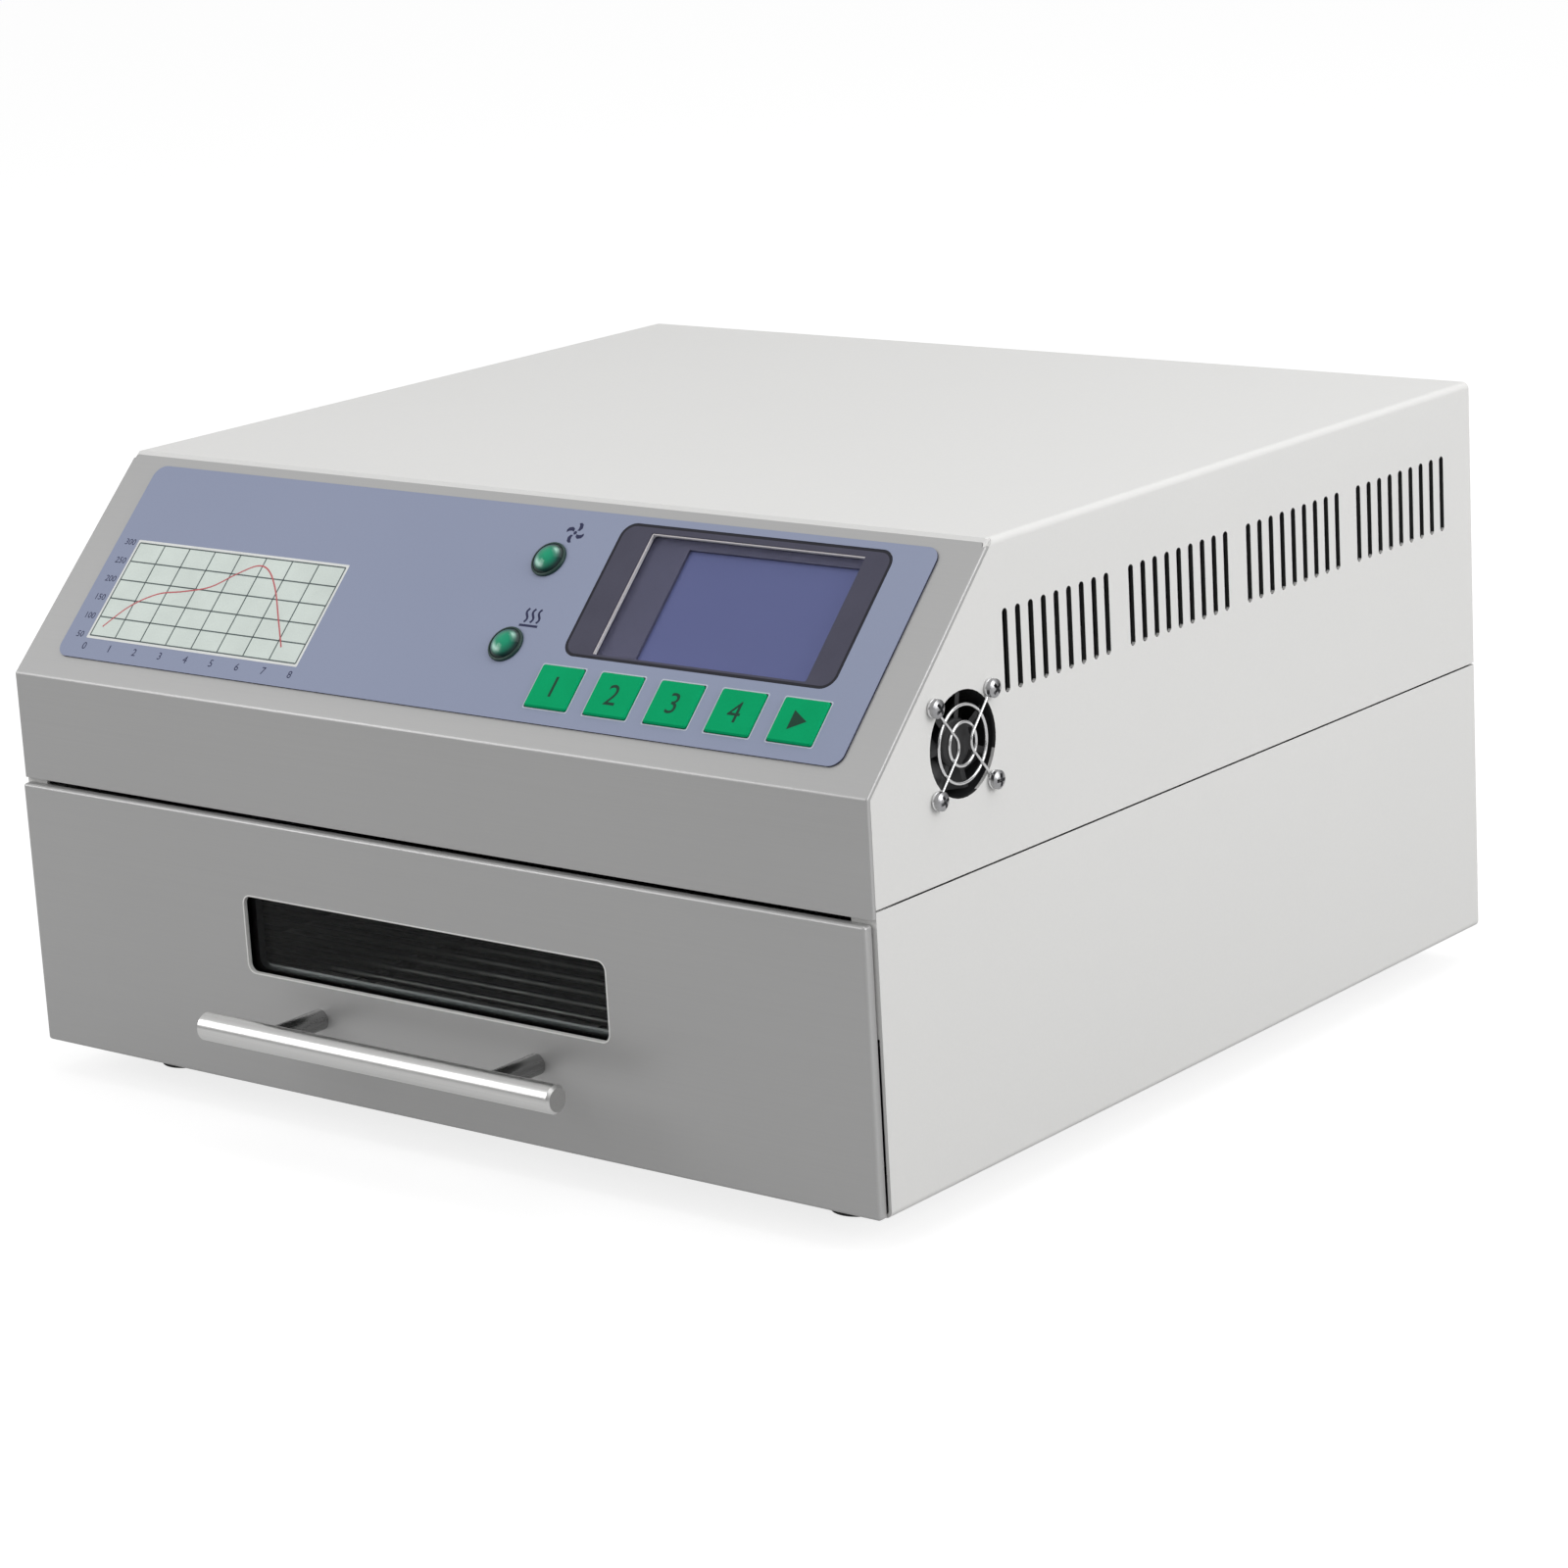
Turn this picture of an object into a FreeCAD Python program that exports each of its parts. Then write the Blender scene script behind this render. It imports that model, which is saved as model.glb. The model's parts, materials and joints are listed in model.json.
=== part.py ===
import FreeCAD, Part
import math
import os
import re
import Sketcher

# A bench-top reflow oven: a sheet-metal case on four feet, a drawer that carries the circuit
# boards in under four quartz heaters, and a sloping control panel.
# Millimetres, +Z up. The drawer is towards -Y, the cooling fan is in the right side (+X).

Vector = FreeCAD.Vector
doc = FreeCAD.newDocument("ReflowOven")
sizes = doc.addObject("Spreadsheet::Sheet", "Sizes")
places = doc.addObject("Spreadsheet::Sheet", "Places")

SIZES = {
    # case
    "case_width": 310, "case_depth": 290, "case_height": 165, "steel": 1, "case_bend": 2,
    "seam_height": 81, "seam_gap": 0.5, "lap": 9, "flange": 10, "front_flange": 7,
    "slope_run": 56, "slope_rise": 55.5, "play": 0.3,
    "foot_height": 10, "foot_top": 20, "foot_bottom": 16, "foot_inset_x": 30, "foot_inset_y": 25,
    "foot_screw": 4, "foot_head": 8, "foot_head_height": 2.6,
    "screw": 3, "screw_head": 5, "screw_head_height": 2.2, "screw_length": 8, "recess": 1.2,
    "rear_screw_inset": 5, "rear_screw_low": 40, "rear_screw_pitch": 46, "rear_reach": 4.5,
    # louvres in both sides
    "louvre_width": 2.2, "louvre_height": 22, "louvre_low": 124, "louvre_start": 59,
    "louvre_pitch": 5.65, "louvre_group": 56.5, "louvres": 9, "louvre_groups": 4,
    # upper front panel with the controls
    "panel_steel": 1.2, "panel_proud": 1.2, "panel_bend": 1.5, "panel_edge": 0.5, "panel_return": 3.5,
    "panel_flange": 9, "side_gap": 0.25,
    "film": 0.5, "film_inset": 12.5, "film_low": 7, "film_high": 73, "film_corner": 4,
    "film_gap": 0.1, "controls_inset": 155,
    "glazing_left": 38.3, "glazing_right": 129.5, "glazing_low": 28.3, "glazing_high": 70.8,
    "glazing_corner": 4.5,
    "screen_left": 48.6, "screen_right": 120.4, "screen_low": 29.8, "screen_high": 68.3,
    "view_left": 61.8, "view_right": 121, "view_low": 30, "view_high": 65.5,
    "lcd_left": 45.5, "lcd_right": 125, "lcd_low": 27.6, "lcd_high": 70.4, "lcd_steel": 0.8,
    "lcd_glass": 2.8,
    "board_drop": 8, "board_thickness": 1.6, "board_left": 2, "board_right": 137.5,
    "board_low": 4, "board_high": 73, "standoff": 4.4, "standoff_inset": 3.6, "chip_height": 2,
    "key_width": 14.5, "key_height": 13, "key_corner": 0.8, "key_rise": 1.2, "key_bevel": 0.4,
    "key_first": 42.2, "key_pitch": 20.5, "key_line": 18.2, "keys": 5, "key_travel": 0.6,
    "key_flange": 1.5, "key_flange_thickness": 1.1, "switch_body": 6, "switch_button": 3.4,
    "switch_button_height": 0.7,
    "lamp_x": 18.7, "lamp_high": 56.5, "lamp_low": 29.2, "lamp_radius": 4.6, "lamp_wall": 0.5,
    "lamp_rim": 5.4, "lamp_rim_height": 0.8, "lamp_dome": 1.8, "lamp_depth": 4,
    # drawer
    "drawer_height": 77.7, "drawer_gap": 1.3, "drawer_proud": 3.4, "drawer_lip": 1.6,
    "drawer_corner": 1,
    "window_width": 133, "window_height": 22.1, "window_middle": 44.75, "window_corner": 2.5,
    "glass": 3, "glass_lap": 6,
    "clip_steel": 0.8, "clip_foot": 7, "clip_lip": 3, "clip_length": 60, "collar": 2.4,
    "handle_length": 130, "handle_diameter": 8, "handle_standoff": 20, "handle_height": 23.7,
    "handle_chamfer": 0.8, "post_spacing": 80, "post_diameter": 6, "post_seat": 1.5,
    "handle_screw": 3, "handle_screw_head": 6,
    "tray_depth": 232, "tray_low": 12, "tray_wall": 32, "tray_front": 62, "tray_steel": 1,
    "ledge": 14, "rack_seat": 26, "rack_runner": 3, "rack_wire": 2, "rack_weld": 0.3,
    "rack_wires": 26, "rack_inset": 3, "rack_start": 12, "runner_inner": 45,
    "slide_middle": 28, "slide_height": 35, "slide_length": 235, "slide_start": 3,
    "slide_steel": 1.2, "slide_play": 0.4, "slide_depth": 12.2, "slide_reach": 10,
    # hot chamber
    "hood_half": 139, "hood_start": 12, "hood_depth": 238, "hood_low": 50, "hood_high": 86,
    "hood_steel": 0.8, "hood_lip": 14, "tube_diameter": 10, "tube_bore": 8, "tube_level": 73,
    "tube_first": 42, "tube_pitch": 56, "tubes": 4, "cap_diameter": 14, "cap_length": 18,
    "cap_outside": 10, "probe_diameter": 2, "probe_collar": 6, "probe_x": 60, "probe_y": 125,
    "probe_length": 26, "blanket": 12, "reflector_half": 128, "reflector_steel": 0.6,
    "shelf_level": 99, "shelf_start": 62, "shelf_depth": 194, "shelf_drop": 17,
    # fans
    "side_fan": 30, "side_fan_depth": 10, "side_fan_bore": 28, "side_fan_pitch": 24,
    "side_fan_hub": 13, "side_fan_blades": 7, "side_fan_y": 39, "side_fan_z": 115,
    "rear_fan": 60, "rear_fan_depth": 25, "rear_fan_bore": 57, "rear_fan_pitch": 50,
    "rear_fan_hub": 28, "rear_fan_blades": 7, "rear_fan_x": 60, "rear_fan_z": 80,
    "fan_plate": 2.5, "fan_strut": 3, "fan_shaft": 2, "blade_thickness": 0.9, "tip_gap": 0.6,
    "guard_wire": 1, "guard_ring_outer": 20.3, "guard_ring_inner": 11.3, "guard_bow": 2.6,
    "guard_apex": 4, "guard_eye": 2.05,
    "grille_slot": 3.4, "grille_pitch": 6, "grille_rows": 9,
    "duct_wide": 56, "duct_low": 54, "duct_high": 83, "duct_steel": 0.8,
    # mains parts in the rear
    "mains_z": 36, "inlet_x": 100, "inlet_width": 27, "inlet_height": 19.5, "inlet_depth": 22,
    "inlet_flange": 50, "inlet_flange_height": 23, "inlet_flange_thickness": 3,
    "inlet_ear_pitch": 40, "socket_width": 24, "socket_height": 16, "socket_depth": 16,
    "socket_cut": 4.5, "pin_wide": 4, "pin_thick": 2, "pin_pitch": 14, "pin_offset": 2, "pin_length": 12,
    "switch_x": 55, "rocker_long": 16.6, "rocker_wide": 11.4, "rocker_face": 1.4,
    "rocker_angle": 11, "switch_bezel": 2, "switch_rim": 1.5, "switch_depth": 13,
    # electronics on the shelf
    "power_left": 20, "power_wide": 90, "power_start": 90, "power_long": 110, "power_lift": 6,
    "core_x": 85, "core_y": 130, "core_wide": 50, "core_long": 42, "core_high": 42,
    "coil_long": 30, "coil_wide": 58, "sink_fins": 7, "sink_fin": 1.6, "sink_pitch": 6,
    "sink_base": 3, "sink_high": 28, "sink_long": 50, "sink_x": 30, "sink_y": 215,
}

PLACES = {
    "half": "case_width / 2",
    "inner": "half - steel",
    "floor_z": "foot_height + steel",
    "top_z": "foot_height + case_height",
    "seam_low": "foot_height + seam_height - seam_gap / 2",
    "seam_high": "foot_height + seam_height + seam_gap / 2",
    "bend_z": "top_z - slope_rise",
    "slope_angle": "atan(slope_rise / slope_run)",
    "front_y": "(drawer_proud + handle_standoff + handle_diameter / 2 - case_depth - rear_reach) / 2",
    "rear_y": "front_y + case_depth",
    "slope_y": "front_y - panel_proud * sin(slope_angle)",
    "slope_z": "bend_z + panel_proud * cos(slope_angle)",
    "front_half": "inner - side_gap",
    "face_half": "half - film_gap",
    "film_half": "half - film_inset",
    "controls": "half - controls_inset",
    "lamp_line": "controls + lamp_x",
    "drawer_y": "front_y - drawer_proud",
    "drawer_top": "foot_height + drawer_height",
    "panel_low": "drawer_top + drawer_gap",
    "window_z": "foot_height + window_middle",
    "handle_z": "foot_height + handle_height",
    "tray_half": "inner - slide_depth",
    "tray_y": "drawer_y + panel_steel",
    "slide_z": "foot_height + slide_middle",
    "ledge_z": "foot_height + rack_seat",
    "hood_z": "foot_height + hood_low",
    "hood_top": "foot_height + hood_high",
    "hood_y": "front_y + hood_start",
    "tube_z": "foot_height + tube_level",
    "shelf_z": "foot_height + shelf_level",
    "plate_y": "rear_y - steel",
    "mains": "foot_height + mains_z",
}


def fill(sheet, rows):
    """Write one named value to each row of a sheet."""
    for row, (name, text) in enumerate(rows, 1):
        cell = "A%d" % row
        sheet.set(cell, text)
        sheet.setAlias(cell, name)


WHERE = {name: "Sizes." + name for name in SIZES}
WHERE.update({name: "Places." + name for name in PLACES})


def ex(text):
    """Point every size name in a formula at the sheet that holds it."""
    return re.sub(r"[A-Za-z_]\w*", lambda word: WHERE.get(word.group(0), word.group(0)), str(text))


fill(sizes, [(name, str(value)) for name, value in SIZES.items()])
fill(places, [(name, "=" + ex(text)) for name, text in PLACES.items()])
doc.recompute()


def number(text):
    """Today's value of a formula."""
    value = sizes.evalExpression(ex(text))
    return float(getattr(value, "Value", value))


def point(pair):
    return Vector(number(pair[0]), number(pair[1]), 0)


def bind(item, prop, text):
    item.setExpression(prop, ex(text))


# Sketches

def origin_part(body, role):
    return next(part for part in body.Origin.OriginFeatures if part.Role == role)


def sketch_on(body, plane, level="0", middle=("0", "0")):
    """A sketch on XY, XZ or YZ at a level along that plane's axis, its origin moved to middle."""
    sketch = body.newObject("Sketcher::SketchObject", "Sketch")
    sketch.AttachmentSupport = [(origin_part(body, plane + "_Plane"), "")]
    sketch.MapMode = "FlatFace"
    bind(sketch, "AttachmentOffset.Base.x", middle[0])
    bind(sketch, "AttachmentOffset.Base.y", middle[1])
    bind(sketch, "AttachmentOffset.Base.z", "-(%s)" % level if plane == "XZ" else level)
    return sketch


def slope_sketch(body):
    """A sketch on the outer face of the sloping panel: x across, y up the slope."""
    sketch = sketch_on(body, "XY")
    sketch.AttachmentOffset = FreeCAD.Placement(Vector(0, 0, 0), FreeCAD.Rotation(Vector(1, 0, 0), 45))
    bind(sketch, "AttachmentOffset.Base.y", "slope_y")
    bind(sketch, "AttachmentOffset.Base.z", "slope_z")
    bind(sketch, "AttachmentOffset.Rotation.Angle", "slope_angle")
    return sketch


def size(sketch, kind, *entry):
    """Add a dimension whose last entry is a formula."""
    index = sketch.addConstraint(Sketcher.Constraint(kind, *entry[:-1], number(entry[-1])))
    sketch.setExpression("Constraints[%d]" % index, ex(entry[-1]))


def pin(sketch, item, end, pair):
    size(sketch, "DistanceX", -1, 1, item, end, pair[0])
    size(sketch, "DistanceY", -1, 1, item, end, pair[1])


def join(sketch, first, first_end, second, second_end):
    sketch.addConstraint(Sketcher.Constraint("Coincident", first, first_end, second, second_end))


def line(sketch, start, end):
    return sketch.addGeometry(Part.LineSegment(point(start), point(end)))


def circle(sketch, middle, radius):
    item = sketch.addGeometry(Part.Circle(point(middle), Vector(0, 0, 1), number(radius)))
    pin(sketch, item, 3, middle)
    size(sketch, "Radius", item, radius)


def round_between(sketch, before, after, centre):
    """An arc of at most half a turn from the end of one line to the start of the next."""
    start = sketch.getPoint(before, 2)
    end = sketch.getPoint(after, 1)
    low = math.atan2(start.y - centre.y, start.x - centre.x)
    high = math.atan2(end.y - centre.y, end.x - centre.x)
    first = 1
    if (high - low) % (2 * math.pi) > math.pi + 1e-6:
        low, high, first = high, low, 2
    if high < low:
        high += 2 * math.pi
    ring = Part.Circle(centre, Vector(0, 0, 1), (start - centre).Length)
    arc = sketch.addGeometry(Part.ArcOfCircle(ring, low, high))
    join(sketch, before, 2, arc, first)
    join(sketch, arc, 3 - first, after, 1)
    return arc


def heading(start, end):
    """Formulas of the unit vector from one corner to another."""
    step = point(end) - point(start)
    if abs(step.x) < 1e-9:
        return ("0", "1" if step.y > 0 else "-1")
    if abs(step.y) < 1e-9:
        return ("1" if step.x > 0 else "-1", "0")
    dx = "((%s) - (%s))" % (end[0], start[0])
    dy = "((%s) - (%s))" % (end[1], start[1])
    span = "sqrt(%s ^ 2 + %s ^ 2)" % (dx, dy)
    return ("%s / %s" % (dx, span), "%s / %s" % (dy, span))


def corner_ends(before, corner, after):
    """Where a rounded corner leaves the two lines that meet in it."""
    back = heading(corner, before)
    ahead = heading(corner, after)
    cosine = "((%s) * (%s) + (%s) * (%s))" % (back[0], ahead[0], back[1], ahead[1])
    reach = "(%s) * sqrt((1 + %s) / (1 - %s))" % (corner[2], cosine, cosine)
    square = abs(number(cosine)) < 1e-9
    reach = corner[2] if square else reach
    ends = []
    for way in (back, ahead):
        ends.append(tuple("(%s) + (%s) * (%s)" % (corner[axis], way[axis], reach) for axis in (0, 1)))
    return ends


def outline(sketch, corners):
    """A closed outline through corners (x, y) or, where rounded, (x, y, radius)."""
    count = len(corners)
    ends = []
    for index, corner in enumerate(corners):
        if len(corner) == 2:
            ends.append((corner, corner))
        else:
            ends.append(corner_ends(corners[index - 1], corner, corners[(index + 1) % count]))
    lines = []
    for index in range(count):
        start, end = ends[index][1], ends[(index + 1) % count][0]
        item = line(sketch, start, end)
        pin(sketch, item, 1, start)
        if len(corners[(index + 1) % count]) == 3:
            pin(sketch, item, 2, end)
        lines.append(item)
    for index, corner in enumerate(corners):
        if len(corner) == 2:
            join(sketch, lines[index - 1], 2, lines[index], 1)
            continue
        start, tip, end = point(ends[index][0]), point(corner), point(ends[index][1])
        middle = (start + end) * 0.5 - tip
        chord = (end - start).Length / 2
        depth = chord ** 2 / middle.Length
        centre = tip + middle * (1 + depth / middle.Length)
        arc = round_between(sketch, lines[index - 1], lines[index], centre)
        size(sketch, "Radius", arc, corner[2])


def rectangle(sketch, left, low, right, high, radius=None):
    corners = [(left, low), (right, low), (right, high), (left, high)]
    if radius:
        corners = [corner + (radius,) for corner in corners]
    outline(sketch, corners)


def shifted(spot, step, sign):
    """Formulas of a point moved by a step, forwards or back."""
    return tuple("(%s) %s (%s)" % (spot[axis], sign, step[axis]) for axis in (0, 1))


def slot(sketch, low, high, radius, upright):
    """A slot with round ends between two end centres, standing up or lying down."""
    across = ("(%s)" % radius, "0") if upright else ("0", "-(%s)" % radius)
    sides = []
    for start, end, sign in ((low, high, "+"), (high, low, "-")):
        start = shifted(start, across, sign)
        end = shifted(end, across, sign)
        item = line(sketch, start, end)
        pin(sketch, item, 1, start)
        pin(sketch, item, 2, end)
        sides.append(item)
    for before, after, centre in ((sides[0], sides[1], high), (sides[1], sides[0], low)):
        arc = round_between(sketch, before, after, point(centre))
        if upright:
            size(sketch, "DistanceY", -1, 1, arc, 3, centre[1])
        else:
            size(sketch, "DistanceX", -1, 1, arc, 3, centre[0])


# Features

def new_body(name):
    body = doc.addObject("PartDesign::Body", name)
    body.Label = name
    return body


def feature(body, kind, sketch):
    item = body.newObject("PartDesign::" + kind, kind)
    item.Profile = sketch
    return item


def faces_back(sketch):
    """True where the sketch looks along the negative axis."""
    return sketch.AttachmentSupport[0][0].Role == "XZ_Plane"


def pad(body, sketch, length, towards=1, both=False):
    item = feature(body, "Pad", sketch)
    bind(item, "Length", length)
    item.SideType = "Symmetric" if both else "One side"
    item.Reversed = (towards < 0) != faces_back(sketch)
    return item


def pocket(body, sketch, length, towards=-1, both=False):
    item = feature(body, "Pocket", sketch)
    bind(item, "Length", length)
    item.SideType = "Symmetric" if both else "One side"
    item.Reversed = (towards > 0) != faces_back(sketch)
    return item


def turn(body, sketch, axis):
    """Revolve a sketch about one of its own axes."""
    item = feature(body, "Revolution", sketch)
    item.ReferenceAxis = (sketch, [axis])
    item.Angle = 360
    return item


def repeat(body, originals, *rows):
    """Repeat features along origin axes; each row is (axis, count, pitch)."""
    group = body.newObject("PartDesign::MultiTransform", "Repeat")
    group.Originals = originals
    steps = []
    for axis, count, pitch in rows:
        step = body.newObject("PartDesign::LinearPattern", "Row")
        step.Direction = (origin_part(body, axis + "_Axis"), [""])
        step.Mode = "Spacing"
        bind(step, "Occurrences", count)
        bind(step, "Offset", pitch)
        steps.append(step)
    group.Transformations = steps
    body.Tip = group
    return group


def ring_of(body, originals, sketch, count):
    """Repeat features round the normal through a sketch's origin."""
    item = body.newObject("PartDesign::PolarPattern", "Ring")
    item.Originals = originals
    item.Axis = (sketch, ["N_Axis"])
    item.Angle = 360
    bind(item, "Occurrences", count)
    body.Tip = item
    return item


def soften(body, kind, amount, chosen):
    """Fillet or chamfer the edges that a test picks out."""
    doc.recompute()
    base = body.Tip
    names = ["Edge%d" % index for index, edge in enumerate(base.Shape.Edges, 1) if chosen(edge)]
    item = body.newObject("PartDesign::" + kind, kind)
    item.Base = (base, names)
    bind(item, "Radius" if kind == "Fillet" else "Size", amount)
    return item


def put(body, x="0", y="0", z="0", axis=None, angle="0"):
    """Place a finished body, turned about an axis."""
    if axis:
        body.Placement = FreeCAD.Placement(Vector(0, 0, 0), FreeCAD.Rotation(axis, 30))
        bind(body, "Placement.Rotation.Angle", angle)
    bind(body, "Placement.Base.x", x)
    bind(body, "Placement.Base.y", y)
    bind(body, "Placement.Base.z", z)


def on_slope(body):
    """Stand a body that was drawn flat on the outer face of the sloping panel."""
    put(body, "0", "slope_y", "slope_z", Vector(1, 0, 0), "slope_angle")


def four_corners(reach):
    """The corners of a square round the origin."""
    return [("%d * (%s)" % (x, reach), "%d * (%s)" % (y, reach)) for x in (1, -1) for y in (1, -1)]


def cross(sketch, span="screw_head * 0.55", width="screw_head * 0.16"):
    """The driver recess of a screw, round the sketch's origin."""
    reach, thin = "(%s) / 2" % span, "(%s) / 2" % width
    corners = []
    for sign_x, sign_y in ((1, 1), (-1, 1), (-1, -1), (1, -1)):
        near = ("%d * %s" % (sign_x, reach), "%d * %s" % (sign_y, thin))
        knee = ("%d * %s" % (sign_x, thin), "%d * %s" % (sign_y, thin))
        far = ("%d * %s" % (sign_x, thin), "%d * %s" % (sign_y, reach))
        corners += [near, knee, far] if sign_x == sign_y else [far, knee, near]
    outline(sketch, corners)


# Case

def base_tray():
    body = new_body("base_tray")
    sheet = sketch_on(body, "XZ", "front_y")
    outline(sheet, [
        ("-half", "seam_low"), ("-half", "foot_height", "case_bend"),
        ("half", "foot_height", "case_bend"), ("half", "seam_low"),
        ("inner", "seam_low"), ("inner", "floor_z", "case_bend - steel"),
        ("-inner", "floor_z", "case_bend - steel"), ("-inner", "seam_low")])
    pad(body, sheet, "case_depth")
    front = sketch_on(body, "XZ", "front_y")
    laps = sketch_on(body, "XZ", "front_y + foot_inset_y / 2")
    sill = "slide_z + slide_height / 2 + 2 * steel"
    for side in (1, -1):
        wall = "%d * inner" % side
        rectangle(front, "%d * (inner - front_flange)" % side, sill, wall, "panel_low - play")
        rectangle(laps, "%d * (inner - steel)" % side, "seam_low - lap", wall, "seam_low + lap")
    pad(body, front, "steel")
    pad(body, laps, "case_depth - foot_inset_y / 2 - 3 * steel")
    rear = sketch_on(body, "XZ", "rear_y")
    outline(rear, [
        ("-inner", "seam_low"), ("-inner", "floor_z"), ("inner", "floor_z"), ("inner", "seam_low"),
        ("inner - flange", "seam_low"), ("inner - flange", "floor_z + flange"),
        ("flange - inner", "floor_z + flange"), ("flange - inner", "seam_low")])
    pad(body, rear, "steel", -1)
    feet = sketch_on(body, "XY", "foot_height")
    for x in ("half - foot_inset_x", "foot_inset_x - half"):
        for y in ("front_y + foot_inset_y", "rear_y - foot_inset_y"):
            circle(feet, (x, y), "foot_screw / 2 + play")
    pocket(body, feet, "2 * steel", 1)
    rear_screw_holes(body, (0,))
    return body


def rear_screw_holes(body, rows):
    """Holes in a rear flange or panel for some rows of the rear screws."""
    holes = sketch_on(body, "XZ", "rear_y")
    for row in rows:
        height = "foot_height + rear_screw_low + %d * rear_screw_pitch" % row
        for side in (1, -1):
            circle(holes, ("%d * (half - rear_screw_inset)" % side, height), "screw / 2 + play / 2")
    pocket(body, holes, "3 * steel", -1)


def top_cover():
    body = new_body("top_cover")
    sheet = sketch_on(body, "XZ", "front_y")
    outline(sheet, [
        ("-half", "seam_high"), ("-half", "top_z", "case_bend"),
        ("half", "top_z", "case_bend"), ("half", "seam_high"),
        ("inner", "seam_high"), ("inner", "top_z - steel", "case_bend - steel"),
        ("-inner", "top_z - steel", "case_bend - steel"), ("-inner", "seam_high")])
    pad(body, sheet, "case_depth")
    rear = sketch_on(body, "XZ", "rear_y")
    outline(rear, [
        ("-inner", "seam_high"), ("-inner", "top_z - steel"), ("inner", "top_z - steel"),
        ("inner", "seam_high"), ("inner - flange", "seam_high"),
        ("inner - flange", "top_z - steel - flange"), ("flange - inner", "top_z - steel - flange"),
        ("flange - inner", "seam_high")])
    pad(body, rear, "steel", -1)
    rear_screw_holes(body, (1, 2))
    cut_slope(body, "panel_proud", "0", "2 * case_width", True)
    for side in (1, -1):
        cut_slope(body, "0", "%d * half" % side, "steel", False, -side)
    for side in (1, -1):
        cut_louvres(body, side)
    fan = sketch_on(body, "YZ", "half", ("front_y + side_fan_y", "foot_height + side_fan_z"))
    circle(fan, ("0", "0"), "side_fan_bore / 2")
    for spot in four_corners("side_fan_pitch / 2"):
        circle(fan, spot, "screw / 2 + play / 2")
    pocket(body, fan, "2 * steel")
    return body


def cut_slope(body, proud, level, length, both, towards=-1):
    """Cut the cover away in front of the slope line moved outwards by proud."""
    cutter = sketch_on(body, "YZ", level)
    foot = "(%s) / sin(slope_angle)" % proud
    outline(cutter, [
        ("front_y - flange", "bend_z + (%s - flange) * tan(slope_angle)" % foot),
        ("front_y - %s + (slope_rise + flange) / tan(slope_angle)" % foot, "top_z + flange"),
        ("front_y - flange", "top_z + flange")])
    pocket(body, cutter, length, towards, both)


def cut_louvres(body, side):
    row = sketch_on(body, "YZ", "%d * half" % side)
    y = "front_y + louvre_start"
    low = (y, "foot_height + louvre_low + louvre_width / 2")
    high = (y, "foot_height + louvre_low + louvre_height - louvre_width / 2")
    slot(row, low, high, "louvre_width / 2", True)
    first = pocket(body, row, "2 * steel", -side)
    repeat(body, [first], ("Y", "louvres", "louvre_pitch"), ("Y", "louvre_groups", "louvre_group"))


def face_line(depth):
    """Corners, bottom to top, of the front panel's side view at a depth behind its outer face."""
    proud = "(panel_proud - (%s))" % depth
    face = "front_y - %s" % proud
    top = "front_y + slope_run - steel / tan(slope_angle) - %s / sin(slope_angle)" % proud
    return [
        (face, "panel_low"),
        (face, "bend_z + %s * tan((90 deg - slope_angle) / 2)" % proud),
        (top, "top_z - steel")]


def front_panel():
    body = new_body("front_panel")
    outer = face_line("0")
    inside = face_line("panel_steel")
    under = "top_z - steel - panel_steel"
    inside_top = "%s - panel_steel / tan(slope_angle)" % inside[2][0]
    sheet = sketch_on(body, "YZ")
    low_end = "front_y + panel_flange"
    high_end = "%s + 2 * panel_flange" % outer[2][0]
    tight = ("panel_bend - panel_steel",)
    outline(sheet, [
        (low_end, "panel_low"), outer[0] + ("panel_bend",), outer[1] + ("panel_bend",),
        outer[2], (high_end, "top_z - steel"), (high_end, under),
        (inside_top, under) + tight, inside[1] + tight,
        (inside[0][0], "panel_low + panel_steel") + tight, (low_end, "panel_low + panel_steel")])
    pad(body, sheet, "2 * front_half", both=True)
    deep = face_line("panel_return")
    for side in (1, -1):
        hem = sketch_on(body, "YZ", "%d * front_half" % side)
        outline(hem, [corner + ("panel_bend",) for corner in outer[:2]] + outer[2:] + deep[::-1])
        pad(body, hem, "panel_steel", -side)
    soften(body, "Fillet", "panel_steel * 0.8", on_flange_end)
    face_wings(body, outer, inside)
    soften(body, "Fillet", "panel_edge", on_panel_side)
    holes = slope_sketch(body)
    rectangle(holes, *control_edges("screen"), "1")
    for height in ("lamp_low", "lamp_high"):
        circle(holes, ("lamp_line", height), "lamp_radius + lamp_wall + play")
    key_holes(holes)
    pocket(body, holes, "3 * panel_steel")
    return body


def face_wings(body, outer, inside):
    """Widen the panel's face to the full case, over the front edges of the cover."""
    crop = "top_z - case_bend"
    wing = sketch_on(body, "YZ")
    outline(wing, [
        outer[0], outer[1] + ("panel_bend",), on_face(outer, crop), on_face(inside, crop),
        inside[1], inside[0]])
    pad(body, wing, "2 * face_half", both=True)


def on_face(corners, height):
    """The point of a sloping face line at a height."""
    y, z = corners[2]
    return ("%s - (%s - (%s)) / tan(slope_angle)" % (y, z, height), height)


def slope_depth(spot):
    """Distance of a point behind the outer face of the slope."""
    angle = math.radians(number("slope_angle"))
    step = spot - Vector(0, number("slope_y"), number("slope_z"))
    return step.y * math.sin(angle) - step.z * math.cos(angle)


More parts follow.
